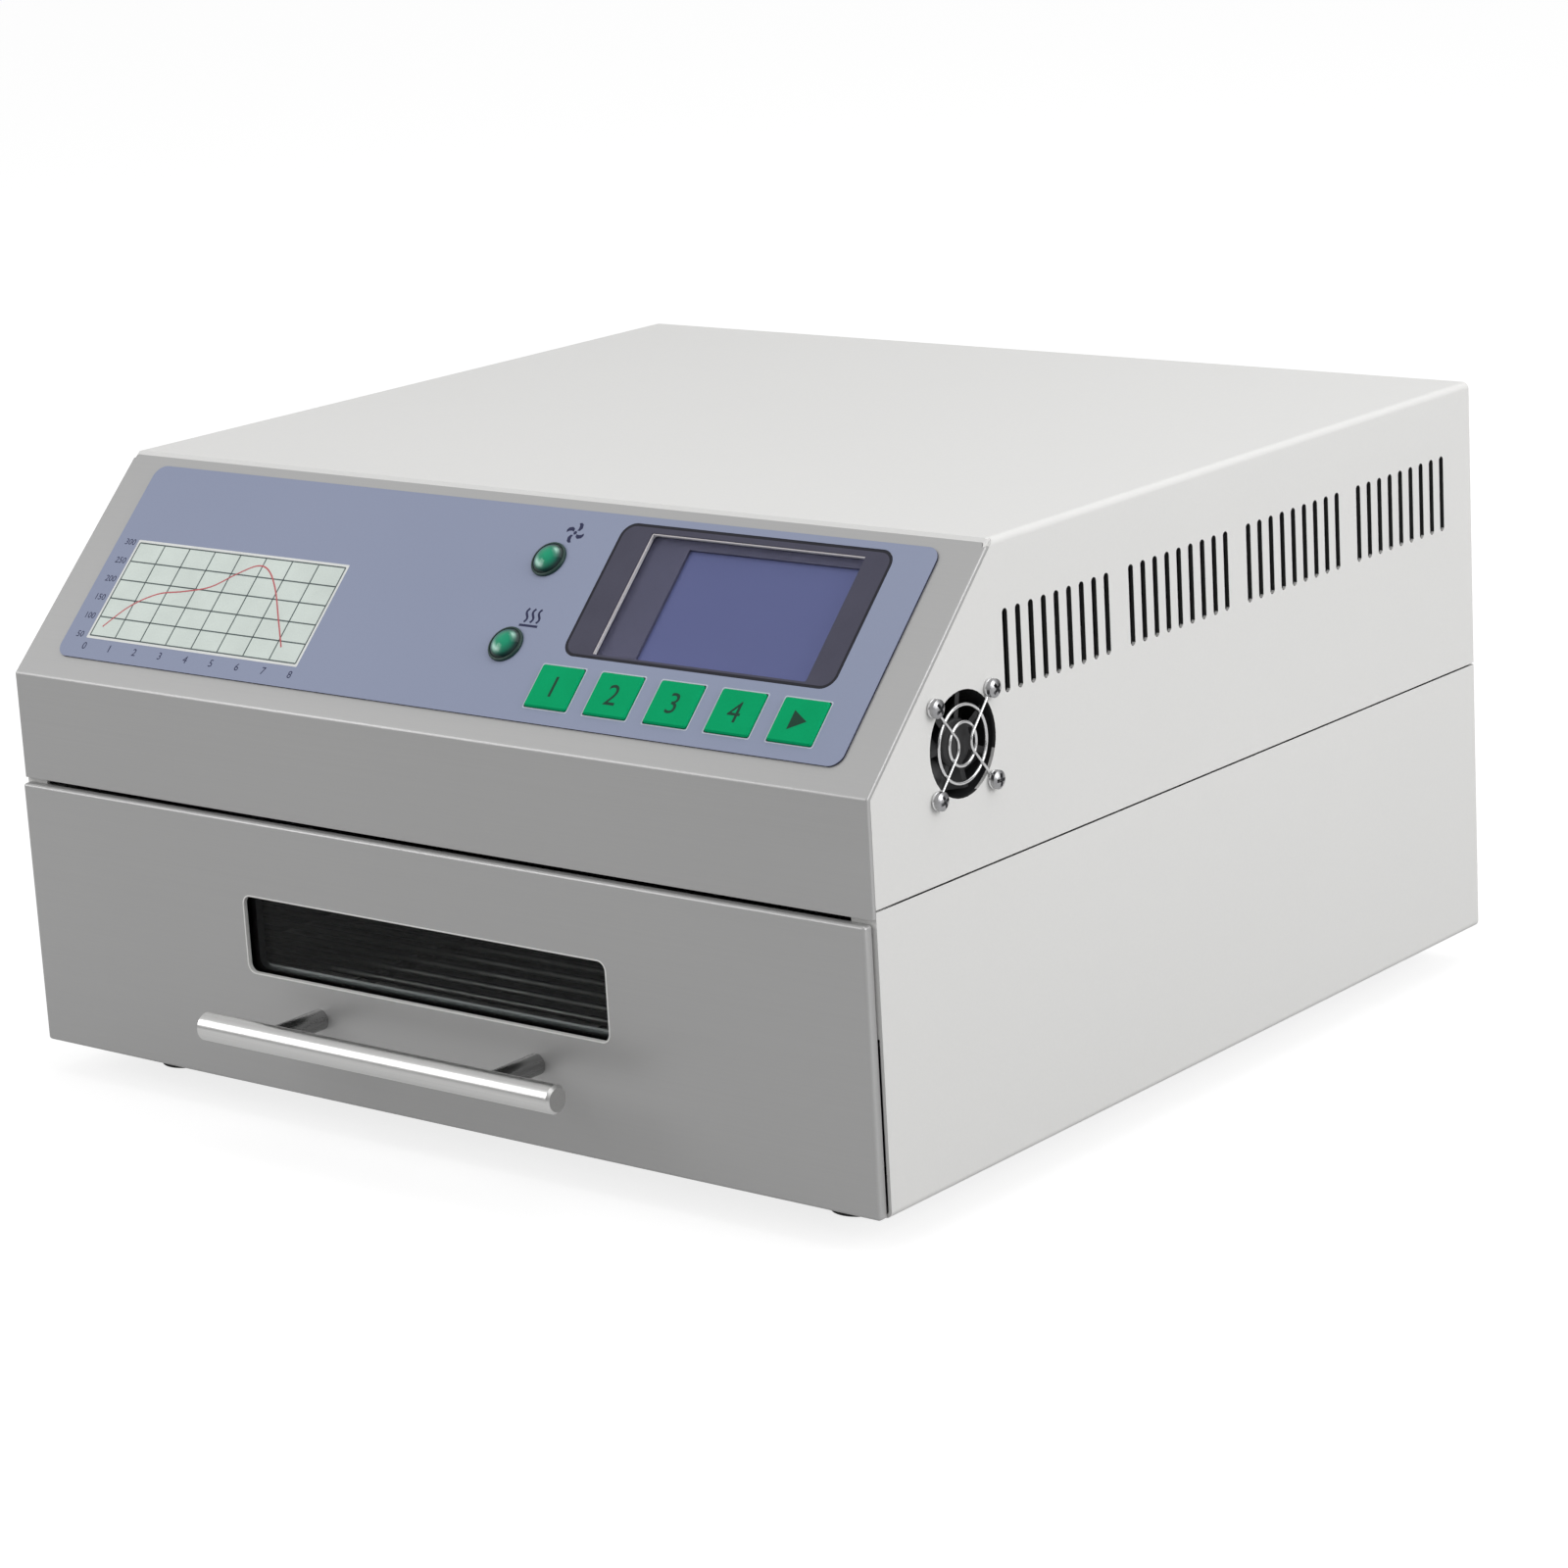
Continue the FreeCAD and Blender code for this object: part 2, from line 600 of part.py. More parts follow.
def on_flange_end(edge):
    """The ends of the top flange, which clear the inner bend of the cover."""
    spot = edge.valueAt((edge.FirstParameter + edge.LastParameter) / 2)
    at_end = abs(abs(spot.x) - number("front_half")) < 1e-3
    return at_end and abs(spot.z - number("top_z - steel")) < 1e-3 and edge.Length > number("flange")


def on_panel_side(edge):
    spot = edge.valueAt((edge.FirstParameter + edge.LastParameter) / 2)
    at_side = abs(abs(spot.x) - number("face_half")) < 1e-3
    at_face = abs(spot.y - number("front_y - panel_proud")) < 1e-3 or abs(slope_depth(spot)) < 1e-3
    return at_side and at_face and edge.Length > number("flange")


def key_x(index):
    return "(controls + key_first + %d * key_pitch)" % index


def key_holes(sketch):
    """One opening with play round every key."""
    for index in range(int(number("keys"))):
        key_rectangle(sketch, key_x(index), "play")


def key_rectangle(sketch, x, grow):
    wide = "(key_width / 2 + (%s))" % grow
    tall = "(key_height / 2 + (%s))" % grow
    rectangle(sketch, "%s - %s" % (x, wide), "key_line - %s" % tall, "%s + %s" % (x, wide),
              "key_line + %s" % tall, "key_corner + (%s)" % grow)


def rear_panel():
    body = new_body("rear_panel")
    sheet = sketch_on(body, "XZ", "plate_y")
    edge = "inner - side_gap"
    rectangle(sheet, "-(%s)" % edge, "floor_z + side_gap", edge, "top_z - steel - side_gap")
    pad(body, sheet, "steel", -1)
    rear_screw_holes(body, (0, 1, 2))
    holes = sketch_on(body, "XZ", "plate_y", ("-rear_fan_x", "foot_height + rear_fan_z"))
    rows = int(number("grille_rows")) // 2
    for row in range(-rows, rows + 1):
        height = "%d * grille_pitch" % row
        reach = "(sqrt((rear_fan_bore / 2 - fan_plate) ^ 2 - (%s) ^ 2) - grille_slot / 2)" % height
        slot(holes, ("-" + reach, height), (reach, height), "grille_slot / 2", False)
    for spot in four_corners("rear_fan_pitch / 2"):
        circle(holes, spot, "screw / 2 + play")
    pocket(body, holes, "2 * steel")
    mains_holes = sketch_on(body, "XZ", "plate_y", ("0", "mains"))
    wide, tall = "(inlet_width / 2 + play)", "(inlet_height / 2 + play)"
    rectangle(mains_holes, "inlet_x - " + wide, "-" + tall, "inlet_x + " + wide, tall, "1")
    wide = "(rocker_wide / 2 + switch_rim + play)"
    tall = "(rocker_long / 2 + switch_rim + 2 * play)"
    rectangle(mains_holes, "switch_x - " + wide, "-" + tall, "switch_x + " + wide, tall)
    for side in (1, -1):
        circle(mains_holes, ("inlet_x + %d * inlet_ear_pitch / 2" % side, "0"), "screw / 2 + play / 2")
    pocket(body, mains_holes, "2 * steel")
    return body


def rubber_feet():
    body = new_body("rubber_feet")
    side = sketch_on(body, "XZ", "front_y + foot_inset_y", ("foot_inset_x - half", "0"))
    hole, well = "foot_screw / 2 + play", "foot_head / 2 + play"
    outline(side, [
        (well, "0"), ("foot_bottom / 2", "0"), ("foot_top / 2", "foot_height"), (hole, "foot_height"),
        (hole, "foot_height / 2"), (well, "foot_height / 2")])
    repeat_at_feet(body, [turn(body, side, "V_Axis")])
    return body


def repeat_at_feet(body, originals):
    across = ("X", "2", "case_width - 2 * foot_inset_x")
    repeat(body, originals, across, ("Y", "2", "case_depth - 2 * foot_inset_y"))


def foot_screws():
    body = new_body("foot_screws")
    side = sketch_on(body, "XZ", "front_y + foot_inset_y", ("foot_inset_x - half", "0"))
    seat = "foot_height / 2"
    outline(side, [
        ("0", "%s - foot_head_height" % seat), ("foot_head / 2", "%s - foot_head_height" % seat, "1"),
        ("foot_head / 2", seat), ("foot_screw / 2", seat), ("foot_screw / 2", "floor_z + 4"),
        ("0", "floor_z + 4")])
    repeat_at_feet(body, [turn(body, side, "V_Axis")])
    return body


def screw_profile(sketch, seat, sign, along_y):
    """Half of a pan-head screw whose head stands out from seat in the direction of sign."""
    tip = "%s - %d * screw_length" % (seat, sign)
    top = "%s + %d * screw_head_height" % (seat, sign)
    corners = [
        (tip, "0"), (tip, "screw / 2"), (seat, "screw / 2"), (seat, "screw_head / 2"),
        (top, "screw_head / 2", "1"), (top, "0")]
    if along_y:
        corners = [(corner[1], corner[0]) + corner[2:] for corner in corners]
    outline(sketch, corners)


def screw_rows(body, x, z, seat, *rows):
    """A screw with a driver recess in the rear, repeated in rows."""
    side = sketch_on(body, "XY", z, (x, "0"))
    screw_profile(side, seat, 1, True)
    shank = turn(body, side, "V_Axis")
    mark = sketch_on(body, "XZ", "%s + screw_head_height" % seat, (x, z))
    cross(mark)
    recess = pocket(body, mark, "recess")
    repeat(body, [shank, recess], *rows)


def rear_screws():
    """The screws of the case, the exhaust fan and the mains inlet."""
    body = new_body("rear_screws")
    screw_rows(body, "rear_screw_inset - half", "foot_height + rear_screw_low", "rear_y",
               ("X", "2", "case_width - 2 * rear_screw_inset"), ("Z", "3", "rear_screw_pitch"))
    fan_x = "-rear_fan_x - rear_fan_pitch / 2"
    fan_z = "foot_height + rear_fan_z - rear_fan_pitch / 2"
    screw_rows(body, fan_x, fan_z, "plate_y", ("X", "2", "rear_fan_pitch"), ("Z", "2", "rear_fan_pitch"))
    screw_rows(body, "inlet_x - inlet_ear_pitch / 2", "mains", "plate_y + inlet_flange_thickness",
               ("X", "2", "inlet_ear_pitch"))
    return body


# Control panel

def control_edges(name):
    """Left, low, right and high edge of a rectangle in the control group."""
    return ("controls + %s_left" % name, name + "_low", "controls + %s_right" % name, name + "_high")


def flat_plate(name, level):
    """A body on the slope with a sketch at a level above the panel's outer face."""
    body = new_body(name)
    on_slope(body)
    return body, sketch_on(body, "XY", level)


def control_overlay():
    body, film = flat_plate("control_overlay", "0")
    rectangle(film, "-film_half", "film_low", "film_half", "film_high", "film_corner")
    rectangle(film, *control_edges("glazing"), "glazing_corner")
    for height in ("lamp_low", "lamp_high"):
        circle(film, ("lamp_line", height), "lamp_radius + lamp_wall + play")
    key_holes(film)
    pad(body, film, "film")
    return body


def display_window():
    body, film = flat_plate("display_window", "0")
    inset_rectangle(film, control_edges("glazing"), "film_gap", "glazing_corner - film_gap")
    pad(body, film, "film")
    return body


def inset_rectangle(sketch, edges, inset, radius=None):
    """A rectangle drawn in by an inset from the named left, low, right and high edges."""
    left, low, right, high = edges
    rectangle(sketch, "%s + %s" % (left, inset), "%s + %s" % (low, inset),
              "%s - %s" % (right, inset), "%s - %s" % (high, inset), radius)


def lcd_frame():
    body, can = flat_plate("lcd_frame", "-board_drop")
    depth = "(board_drop - panel_steel - play)"
    rectangle(can, *control_edges("lcd"), "1")
    pad(body, can, depth)
    inside = sketch_on(body, "XY", "-board_drop")
    inset_rectangle(inside, control_edges("lcd"), "lcd_steel")
    pocket(body, inside, "%s - lcd_steel" % depth, 1)
    view = sketch_on(body, "XY", "-panel_steel - play")
    rectangle(view, *control_edges("view"))
    pocket(body, view, "2 * lcd_steel")
    return body


def lcd_screen():
    body, glass = flat_plate("lcd_screen", "-panel_steel - play - lcd_steel - lcd_glass")
    inset_rectangle(glass, control_edges("lcd"), "(lcd_steel + play)")
    pad(body, glass, "lcd_glass")
    return body


def standoff_spots():
    left, low, right, high = control_edges("board")
    for x in (left + " + standoff_inset", right + " - standoff_inset"):
        for y in (low + " + standoff_inset", high + " - standoff_inset"):
            yield (x, y)


# Chips and sockets under the control board: left, low, right and high edge on the slope.
CHIPS = ((60, 30, 74, 44), (84, 50, 104, 58), (16, 40, 28, 52), (16, 12, 34, 18))


def control_board():
    under = "-board_drop - board_thickness"
    body, board = flat_plate("control_board", under)
    rectangle(board, *control_edges("board"), "1")
    for spot in standoff_spots():
        circle(board, spot, "screw / 2")
    pad(body, board, "board_thickness")
    chips = sketch_on(body, "XY", under)
    for left, low, right, high in CHIPS:
        rectangle(chips, "controls + %d" % left, str(low), "controls + %d" % right, str(high))
    pad(body, chips, "chip_height", -1)
    return body


def board_standoffs():
    body, posts = flat_plate("board_standoffs", "-board_drop")
    for spot in standoff_spots():
        circle(posts, spot, "standoff / 2")
    pad(body, posts, "board_drop - panel_steel")
    return body


def key_switches():
    body, first = flat_plate("key_switches", "-board_drop")
    half = "switch_body / 2"
    room = "board_drop - panel_steel - 2 * play - key_flange_thickness - key_travel"
    height = room + " - switch_button_height"
    low, high = "key_line - " + half, "key_line + " + half
    rectangle(first, "%s - %s" % (key_x(0), half), low, "%s + %s" % (key_x(0), half), high)
    case = pad(body, first, height)
    button = sketch_on(body, "XY", "-board_drop + " + height)
    circle(button, (key_x(0), "key_line"), "switch_button / 2")
    repeat(body, [case, pad(body, button, "switch_button_height")], ("X", "keys", "key_pitch"))
    return body


def key(index):
    level = "-panel_steel - play - key_flange_thickness"
    body, cap = flat_plate("key_%d" % (index + 1), level)
    key_rectangle(cap, key_x(index), "0")
    pad(body, cap, "key_rise - (%s)" % level)
    top = number("key_rise")
    soften(body, "Chamfer", "key_bevel", lambda edge: edge.BoundBox.ZMin > top - 1e-3)
    flange = sketch_on(body, "XY", level)
    key_rectangle(flange, key_x(index), "key_flange")
    pad(body, flange, "key_flange_thickness")
    return body


def indicator(name, height):
    """A domed lamp lens in the slope."""
    body = new_body(name)
    on_slope(body)
    side = sketch_on(body, "XZ", height, ("lamp_line", "0"))
    top = "film + lamp_rim_height + lamp_dome"
    outline(side, [
        ("0", "-lamp_depth"), ("lamp_radius", "-lamp_depth"),
        ("lamp_radius", top, "lamp_dome"), ("0", top)])
    turn(body, side, "V_Axis")
    return body


def indicator_bezels():
    body = new_body("indicator_bezels")
    on_slope(body)
    side = sketch_on(body, "XZ", "lamp_low", ("lamp_line", "0"))
    bore, wall = "lamp_radius + play / 2", "lamp_radius + lamp_wall"
    top = "film + lamp_rim_height"
    outline(side, [
        (bore, "-lamp_depth"), (wall, "-lamp_depth"), (wall, "film"), ("lamp_rim", "film"),
        ("lamp_rim", top, "0.4"), (bore, top)])
    repeat(body, [turn(body, side, "V_Axis")], ("Y", "2", "lamp_high - lamp_low"))
    return body


# Drawer

def drawer_front():
    body = new_body("drawer_front")
    face = sketch_on(body, "XZ", "drawer_y")
    rectangle(face, "-front_half", "foot_height", "front_half", "drawer_top", "drawer_corner")
    pad(body, face, "panel_steel + drawer_lip")
    front = number("drawer_y")
    soften(body, "Fillet", "drawer_corner", lambda edge: edge.BoundBox.YMax < front + 1e-3)
    hollow = sketch_on(body, "XZ", "drawer_y + panel_steel + drawer_lip")
    inset_rectangle(hollow, ("-front_half", "foot_height", "front_half", "drawer_top"), "panel_steel")
    pocket(body, hollow, "drawer_lip")
    holes = sketch_on(body, "XZ", "drawer_y")
    window_rectangle(holes, "0")
    handle_holes(holes)
    pocket(body, holes, "2 * panel_steel", 1)
    return body


def window_rectangle(sketch, grow):
    wide, tall = "(window_width / 2 + (%s))" % grow, "(window_height / 2 + (%s))" % grow
    rectangle(sketch, "-" + wide, "window_z - " + tall, wide, "window_z + " + tall, "window_corner")


def handle_holes(sketch, radius="handle_screw / 2 + play / 2"):
    for side in (1, -1):
        circle(sketch, ("%d * post_spacing / 2" % side, "handle_z"), radius)


def window_glass():
    body = new_body("window_glass")
    pane = sketch_on(body, "XZ", "tray_y + tray_steel")
    window_rectangle(pane, "glass_lap")
    pad(body, pane, "glass")
    return body


def glass_clips():
    """Two bent strips hold the pane against the tray, joined by a collar round the window."""
    body = new_body("glass_clips")
    wall, back = "tray_y + tray_steel", "tray_y + tray_steel + glass"
    for side in (1, -1):
        bent = sketch_on(body, "YZ")
        edge = "window_z + %d * (window_height / 2 + glass_lap + play)" % side
        step = "(%s + %d * clip_steel)" % (edge, side)
        lip = "(%s - %d * clip_lip)" % (edge, side)
        foot = "(%s + %d * clip_foot)" % (edge, side)
        outline(bent, [
            (wall, edge), (wall, foot), (wall + " + clip_steel", foot), (wall + " + clip_steel", step),
            (back + " + clip_steel", step), (back + " + clip_steel", lip), (back, lip), (back, edge)])
        pad(body, bent, "clip_length", both=True)
    for reach, depth in (("glass_lap - play", "clip_steel"), ("clip_steel", "collar")):
        ring = sketch_on(body, "XZ", back)
        window_rectangle(ring, reach)
        window_rectangle(ring, "0")
        pad(body, ring, depth)
    return body


def handle_bar():
    body = new_body("handle_bar")
    end = sketch_on(body, "YZ")
    circle(end, ("drawer_y - handle_standoff", "handle_z"), "handle_diameter / 2")
    pad(body, end, "handle_length", both=True)
    far = number("handle_length / 2")
    soften(body, "Chamfer", "handle_chamfer",
           lambda edge: edge.BoundBox.XLength < 1e-3 and abs(abs(edge.CenterOfMass.x) - far) < 1e-3)
    seats = sketch_on(body, "XZ", "drawer_y - handle_standoff + handle_diameter / 2")
    handle_holes(seats, "post_diameter / 2 + film_gap")
    pocket(body, seats, "post_seat", -1)
    return body


def handle_posts():
    body = new_body("handle_posts")
    posts = sketch_on(body, "XZ", "drawer_y")
    handle_holes(posts, "post_diameter / 2")
    pad(body, posts, "handle_standoff - handle_diameter / 2 + post_seat", -1)
    bores = sketch_on(body, "XZ", "drawer_y")
    handle_holes(bores)
    pocket(body, bores, "screw_length", -1)
    return body


def handle_screws():
    body = new_body("handle_screws")
    seat = "tray_y + tray_steel"
    heads = sketch_on(body, "XZ", seat)
    handle_holes(heads, "handle_screw_head / 2")
    pad(body, heads, "screw_head_height")
    shanks = sketch_on(body, "XZ", seat)
    handle_holes(shanks, "handle_screw / 2")
    pad(body, shanks, "screw_length", -1)
    return body


def drawer_tray():
    body = new_body("drawer_tray")
    low, back = "foot_height + tray_low", "front_y + tray_depth"
    walls = sketch_on(body, "XY", low)
    edges = ("-tray_half", "tray_y", "tray_half", back)
    rectangle(walls, *edges)
    inset_rectangle(walls, edges, "tray_steel")
    pad(body, walls, "tray_wall")
    front = sketch_on(body, "XZ", "tray_y")
    rectangle(front, "-tray_half", low, "tray_half", low + " + tray_front")
    pad(body, front, "tray_steel")
    shelf = sketch_on(body, "XY", "ledge_z")
    wall, lip = "tray_half - tray_steel", "tray_half - tray_steel - ledge"
    start = "tray_y + rack_start"
    outline(shelf, [
        ("-(%s)" % wall, start), ("-(%s)" % lip, start), ("-(%s)" % lip, back + " - ledge"),
        (lip, back + " - ledge"), (lip, start), (wall, start), (wall, back + " - tray_steel"),
        ("-(%s)" % wall, back + " - tray_steel")])
    pad(body, shelf, "tray_steel", -1)
    holes = sketch_on(body, "XZ", "tray_y")
    window_rectangle(holes, "tray_steel")
    handle_holes(holes)
    pocket(body, holes, "2 * tray_steel", 1)
    return body


def tray_rack():
    """Cross wires welded on four runners; the outer runners lie on the ledge of the tray."""
    body = new_body("tray_rack")
    start = "tray_y + rack_start"
    length = "front_y + tray_depth - tray_steel - rack_inset - (%s)" % start
    runners = sketch_on(body, "XZ", start)
    for x in ("tray_half - tray_steel - ledge / 2", "runner_inner"):
        for sign in ("", "-"):
            circle(runners, ("%s(%s)" % (sign, x), "ledge_z + rack_runner / 2"), "rack_runner / 2")
    pad(body, runners, length)
    wire = sketch_on(body, "YZ")
    level = "ledge_z + rack_runner + rack_wire / 2 - rack_weld"
    circle(wire, (start + " + rack_wire", level), "rack_wire / 2")
    first = pad(body, wire, "2 * (tray_half - tray_steel - rack_inset)", both=True)
    repeat(body, [first], ("Y", "rack_wires", "(%s - 2 * rack_wire) / (rack_wires - 1)" % length))
    return body


def slide(name, side, back, front, shrink, web_at_back):
    """One channel of a drawer slide; back and front are x distances from the case wall."""
    body = new_body(name)
    x = lambda depth: "%d * (inner - (%s))" % (side, depth)
    high = "(slide_height / 2 - (%s))" % shrink
    web = back if web_at_back else front
    mouth = front if web_at_back else back
    web_in = "%s %s slide_steel" % (web, "+" if web_at_back else "-")
    side_view = sketch_on(body, "XZ", "front_y + slide_start")
    outline(side_view, [
        (x(mouth), "slide_z - " + high), (x(web), "slide_z - " + high, "slide_steel * 1.5"),
        (x(web), "slide_z + " + high, "slide_steel * 1.5"), (x(mouth), "slide_z + " + high),
        (x(mouth), "slide_z + %s - slide_steel" % high),
        (x(web_in), "slide_z + %s - slide_steel" % high, "slide_steel * 0.5"),
        (x(web_in), "slide_z - %s + slide_steel" % high, "slide_steel * 0.5"),
        (x(mouth), "slide_z - %s + slide_steel" % high)])
    pad(body, side_view, "slide_length")
    return body


def slides():
    pieces = []
    gap = "(slide_steel + slide_play)"
    for name, side in (("left", -1), ("right", 1)):
        pieces.append(slide("slide_outer_" + name, side, "0", "slide_reach", "0", True))
        pieces.append(slide("slide_middle_" + name, side, gap, "slide_reach + slide_play", gap, True))
        inner_back = "2 * %s" % gap
        pieces.append(slide("slide_inner_" + name, side, inner_back, "slide_depth", inner_back, False))
    return pieces


# Hot chamber

def hood_profile(side_x, level, top, lip):
    """Corners of a hat-shaped sheet whose brims turn up against the case walls."""
    inside = side_x + " - hood_steel"
    brim = level + " + hood_steel"
    lip_x, lip_z = "inner - hood_steel", "%s + %s" % (level, lip)
    right = [
        (inside, top + " - hood_steel"), (inside, level), ("inner", level), ("inner", lip_z),
        (lip_x, lip_z), (lip_x, brim), (side_x, brim), (side_x, top)]
    left = [("-(%s)" % x, z) for x, z in right]
    return right + left[::-1]


def tube_y(index):
    return "(front_y + tube_first + %d * tube_pitch)" % index


def probe_holes(sketch):
    for side in (1, -1):
        circle(sketch, ("%d * probe_x" % side, "front_y + probe_y"), "probe_diameter / 2 + play")


def oven_hood():
    body = new_body("oven_hood")
    sheet = sketch_on(body, "XZ", "hood_y")
    outline(sheet, hood_profile("hood_half", "hood_z", "hood_top", "hood_lip"))
    pad(body, sheet, "hood_depth")
    back = sketch_on(body, "XZ", "hood_y + hood_depth")
    rectangle(back, "-hood_half", "floor_z + play", "hood_half", "hood_top")
    pad(body, back, "hood_steel", -1)
    vent = sketch_on(body, "XZ", "hood_y + hood_depth", ("-rear_fan_x", "foot_height"))
    edge = "(duct_wide / 2 - duct_steel)"
    rectangle(vent, "-" + edge, "duct_low + duct_steel", edge, "duct_high - duct_steel")
    pocket(body, vent, "2 * hood_steel")
    ends = sketch_on(body, "YZ")
    for index in range(int(number("tubes"))):
        circle(ends, (tube_y(index), "tube_z"), "cap_diameter / 2 + play")
    pocket(body, ends, "case_width", both=True)
    probes = sketch_on(body, "XY", "hood_top")
    probe_holes(probes)
    pocket(body, probes, "2 * hood_steel")
    return body


def reflector():
    """Bright sheet under the roof of the hood, folded to a ridge between each pair of heaters."""
    body = new_body("reflector")
    top = "hood_top - hood_steel"
    ridge = "tube_diameter / 2"
    chain = [("hood_y + flange", top)]
    for index in range(int(number("tubes")) - 1):
        middle = "%s + tube_pitch / 2" % tube_y(index)
        chain += [("%s - %s" % (middle, ridge), top), (middle, "%s - %s" % (top, ridge)),
                  ("%s + %s" % (middle, ridge), top)]
    chain += [("hood_y + hood_depth - flange", top)]
    under = [(y, "%s - reflector_steel" % z) for y, z in chain]
    sheet = sketch_on(body, "YZ")
    outline(sheet, chain + under[::-1])
    pad(body, sheet, "2 * reflector_half", both=True)
    probes = sketch_on(body, "XY", top)
    probe_holes(probes)
    pocket(body, probes, "2 * reflector_steel + %s" % ridge)
    return body


def heater_tube(index):
    body = new_body("heater_tube_%d" % (index + 1))
    end = sketch_on(body, "YZ")
    circle(end, (tube_y(index), "tube_z"), "tube_diameter / 2")
    circle(end, (tube_y(index), "tube_z"), "tube_bore / 2")
    pad(body, end, "2 * (hood_half + cap_outside - cap_length / 3)", both=True)
    return body


def heater_caps():
    """Ceramic ends of the heaters, seated in the sides of the hood."""
    body = new_body("heater_caps")
    for side in (1, -1):
        outside = "%d * (hood_half + cap_outside)" % side
        end = sketch_on(body, "YZ", outside)
        circle(end, (tube_y(0), "tube_z"), "cap_diameter / 2")
        cap = pad(body, end, "cap_length", -side)
        mouth = sketch_on(body, "YZ", "%d * (hood_half + cap_outside - cap_length)" % side)
        circle(mouth, (tube_y(0), "tube_z"), "tube_diameter / 2 + play / 2")
        bore = pocket(body, mouth, "cap_length * 2 / 3", side)
        repeat(body, [cap, bore], ("Y", "tubes", "tube_pitch"))
    return body


def thermocouples():
    """Probes that hang through the roof of the hood over the board."""
    body = new_body("thermocouples")
    for side in (1, -1):
        x = "%d * probe_x" % side
        stem = sketch_on(body, "XY", "hood_top")
        circle(stem, (x, "front_y + probe_y"), "probe_diameter / 2")
        pad(body, stem, "probe_length", -1)
        collar = sketch_on(body, "XY", "hood_top")
        circle(collar, (x, "front_y + probe_y"), "probe_collar / 2")
        pad(body, collar, "blanket")
    return body


def insulation_blanket():
    body = new_body("insulation_blanket")
    mat = sketch_on(body, "XY", "hood_top")
    rectangle(mat, "-hood_half", "hood_y", "hood_half", "hood_y + hood_depth", "flange")
    for side in (1, -1):
        circle(mat, ("%d * probe_x" % side, "front_y + probe_y"), "probe_collar / 2 + play")
    pad(body, mat, "blanket")
    return body


def electronics_shelf():
    """Folded sheet over the insulation, its legs fixed to the lap strips of the base."""
    body = new_body("electronics_shelf")
    edge, leg = "(inner - steel)", "shelf_z - shelf_drop"
    thin, top = "(inner - steel - hood_steel)", "shelf_z + hood_steel"
    sheet = sketch_on(body, "XZ", "front_y + shelf_start")
    outline(sheet, [
        ("-" + edge, leg), ("-" + edge, top), (edge, top), (edge, leg),
        (thin, leg), (thin, "shelf_z"), ("-" + thin, "shelf_z"), ("-" + thin, leg)])
    pad(body, sheet, "shelf_depth")
    return body


def exhaust_duct():
    """Sleeve that widens from the vent in the hood to the exhaust fan."""
    body = new_body("exhaust_duct")
    start, end = "hood_y + hood_depth", "rear_y - 2 * steel - rear_fan_depth"
    for kind, inset in (("AdditiveLoft", "0"), ("SubtractiveLoft", "duct_steel")):
        near = sketch_on(body, "XZ", start, ("-rear_fan_x", "foot_height"))
        edge = "(duct_wide / 2 - %s)" % inset
        rectangle(near, "-" + edge, "duct_low + " + inset, edge, "duct_high - " + inset)
        far = sketch_on(body, "XZ", end, ("-rear_fan_x", "foot_height + rear_fan_z"))
        edge = "(rear_fan / 2 - %s)" % inset
        rectangle(far, "-" + edge, "-" + edge, edge, edge)
        loft = feature(body, kind, near)
        loft.Sections = [far]
        loft.Ruled = True
    return body


# Fans, drawn flat with the outer face at z = 0 and the air blown along z

def fan_frame(name, fan):
    body = new_body(name)
    depth, bore = fan + "_depth", fan + "_bore"
    block = sketch_on(body, "XY")
    edge = fan + " / 2"
    rectangle(block, "-" + edge, "-" + edge, edge, edge, fan + " / 12")
    for spot in four_corners(fan + "_pitch / 2"):
        circle(block, spot, "screw / 2 + play / 2")
    pad(body, block, depth, -1)
    hole = sketch_on(body, "XY")
    circle(hole, ("0", "0"), bore + " / 2")
    pocket(body, hole, depth)
    plate = sketch_on(body, "XY", "-" + depth)
    circle(plate, ("0", "0"), fan + "_hub / 2")
    pad(body, plate, "fan_plate")
    for wide, tall in ((bore, "fan_strut"), ("fan_strut", bore)):
        strut = sketch_on(body, "XY", "-" + depth)
        reach, half = "(%s / 2 + play)" % wide, "%s / 2" % tall
        rectangle(strut, "-" + reach, "-" + half, reach, half)
        pad(body, strut, "fan_plate")
    bearing = sketch_on(body, "XY", "-" + depth)
    circle(bearing, ("0", "0"), "fan_shaft / 2 + play")
    pocket(body, bearing, "fan_plate", 1)
    return body


def fan_rotor(name, fan):
    body = new_body(name)
    low = "(fan_plate + play - %s_depth)" % fan
    high = "(-fan_plate / 2)"
    hub = sketch_on(body, "XY", low)
    circle(hub, ("0", "0"), fan + "_hub / 2")
    pad(body, hub, "%s - %s" % (high, low))
    soften(body, "Fillet", "fan_plate / 3", lambda edge: edge.BoundBox.ZMin > number(high) - 1e-3)
    shaft = sketch_on(body, "XY", low)
    circle(shaft, ("0", "0"), "fan_shaft / 2")
    pad(body, shaft, "fan_plate", -1)
    sweep = fan + "_bore * 0.17"
    reach = "sqrt((%s_bore / 2 - tip_gap) ^ 2 - (%s) ^ 2)" % (fan, sweep)
    root = blade_section(body, fan + "_hub * 0.4", fan + "_hub * 0.2", low, high)
    tip = blade_section(body, reach, sweep, low, high)
    blade = feature(body, "AdditiveLoft", root)
    blade.Sections = [tip]
    blade.Ruled = True
    ring_of(body, [blade], hub, fan + "_blades")
    return body


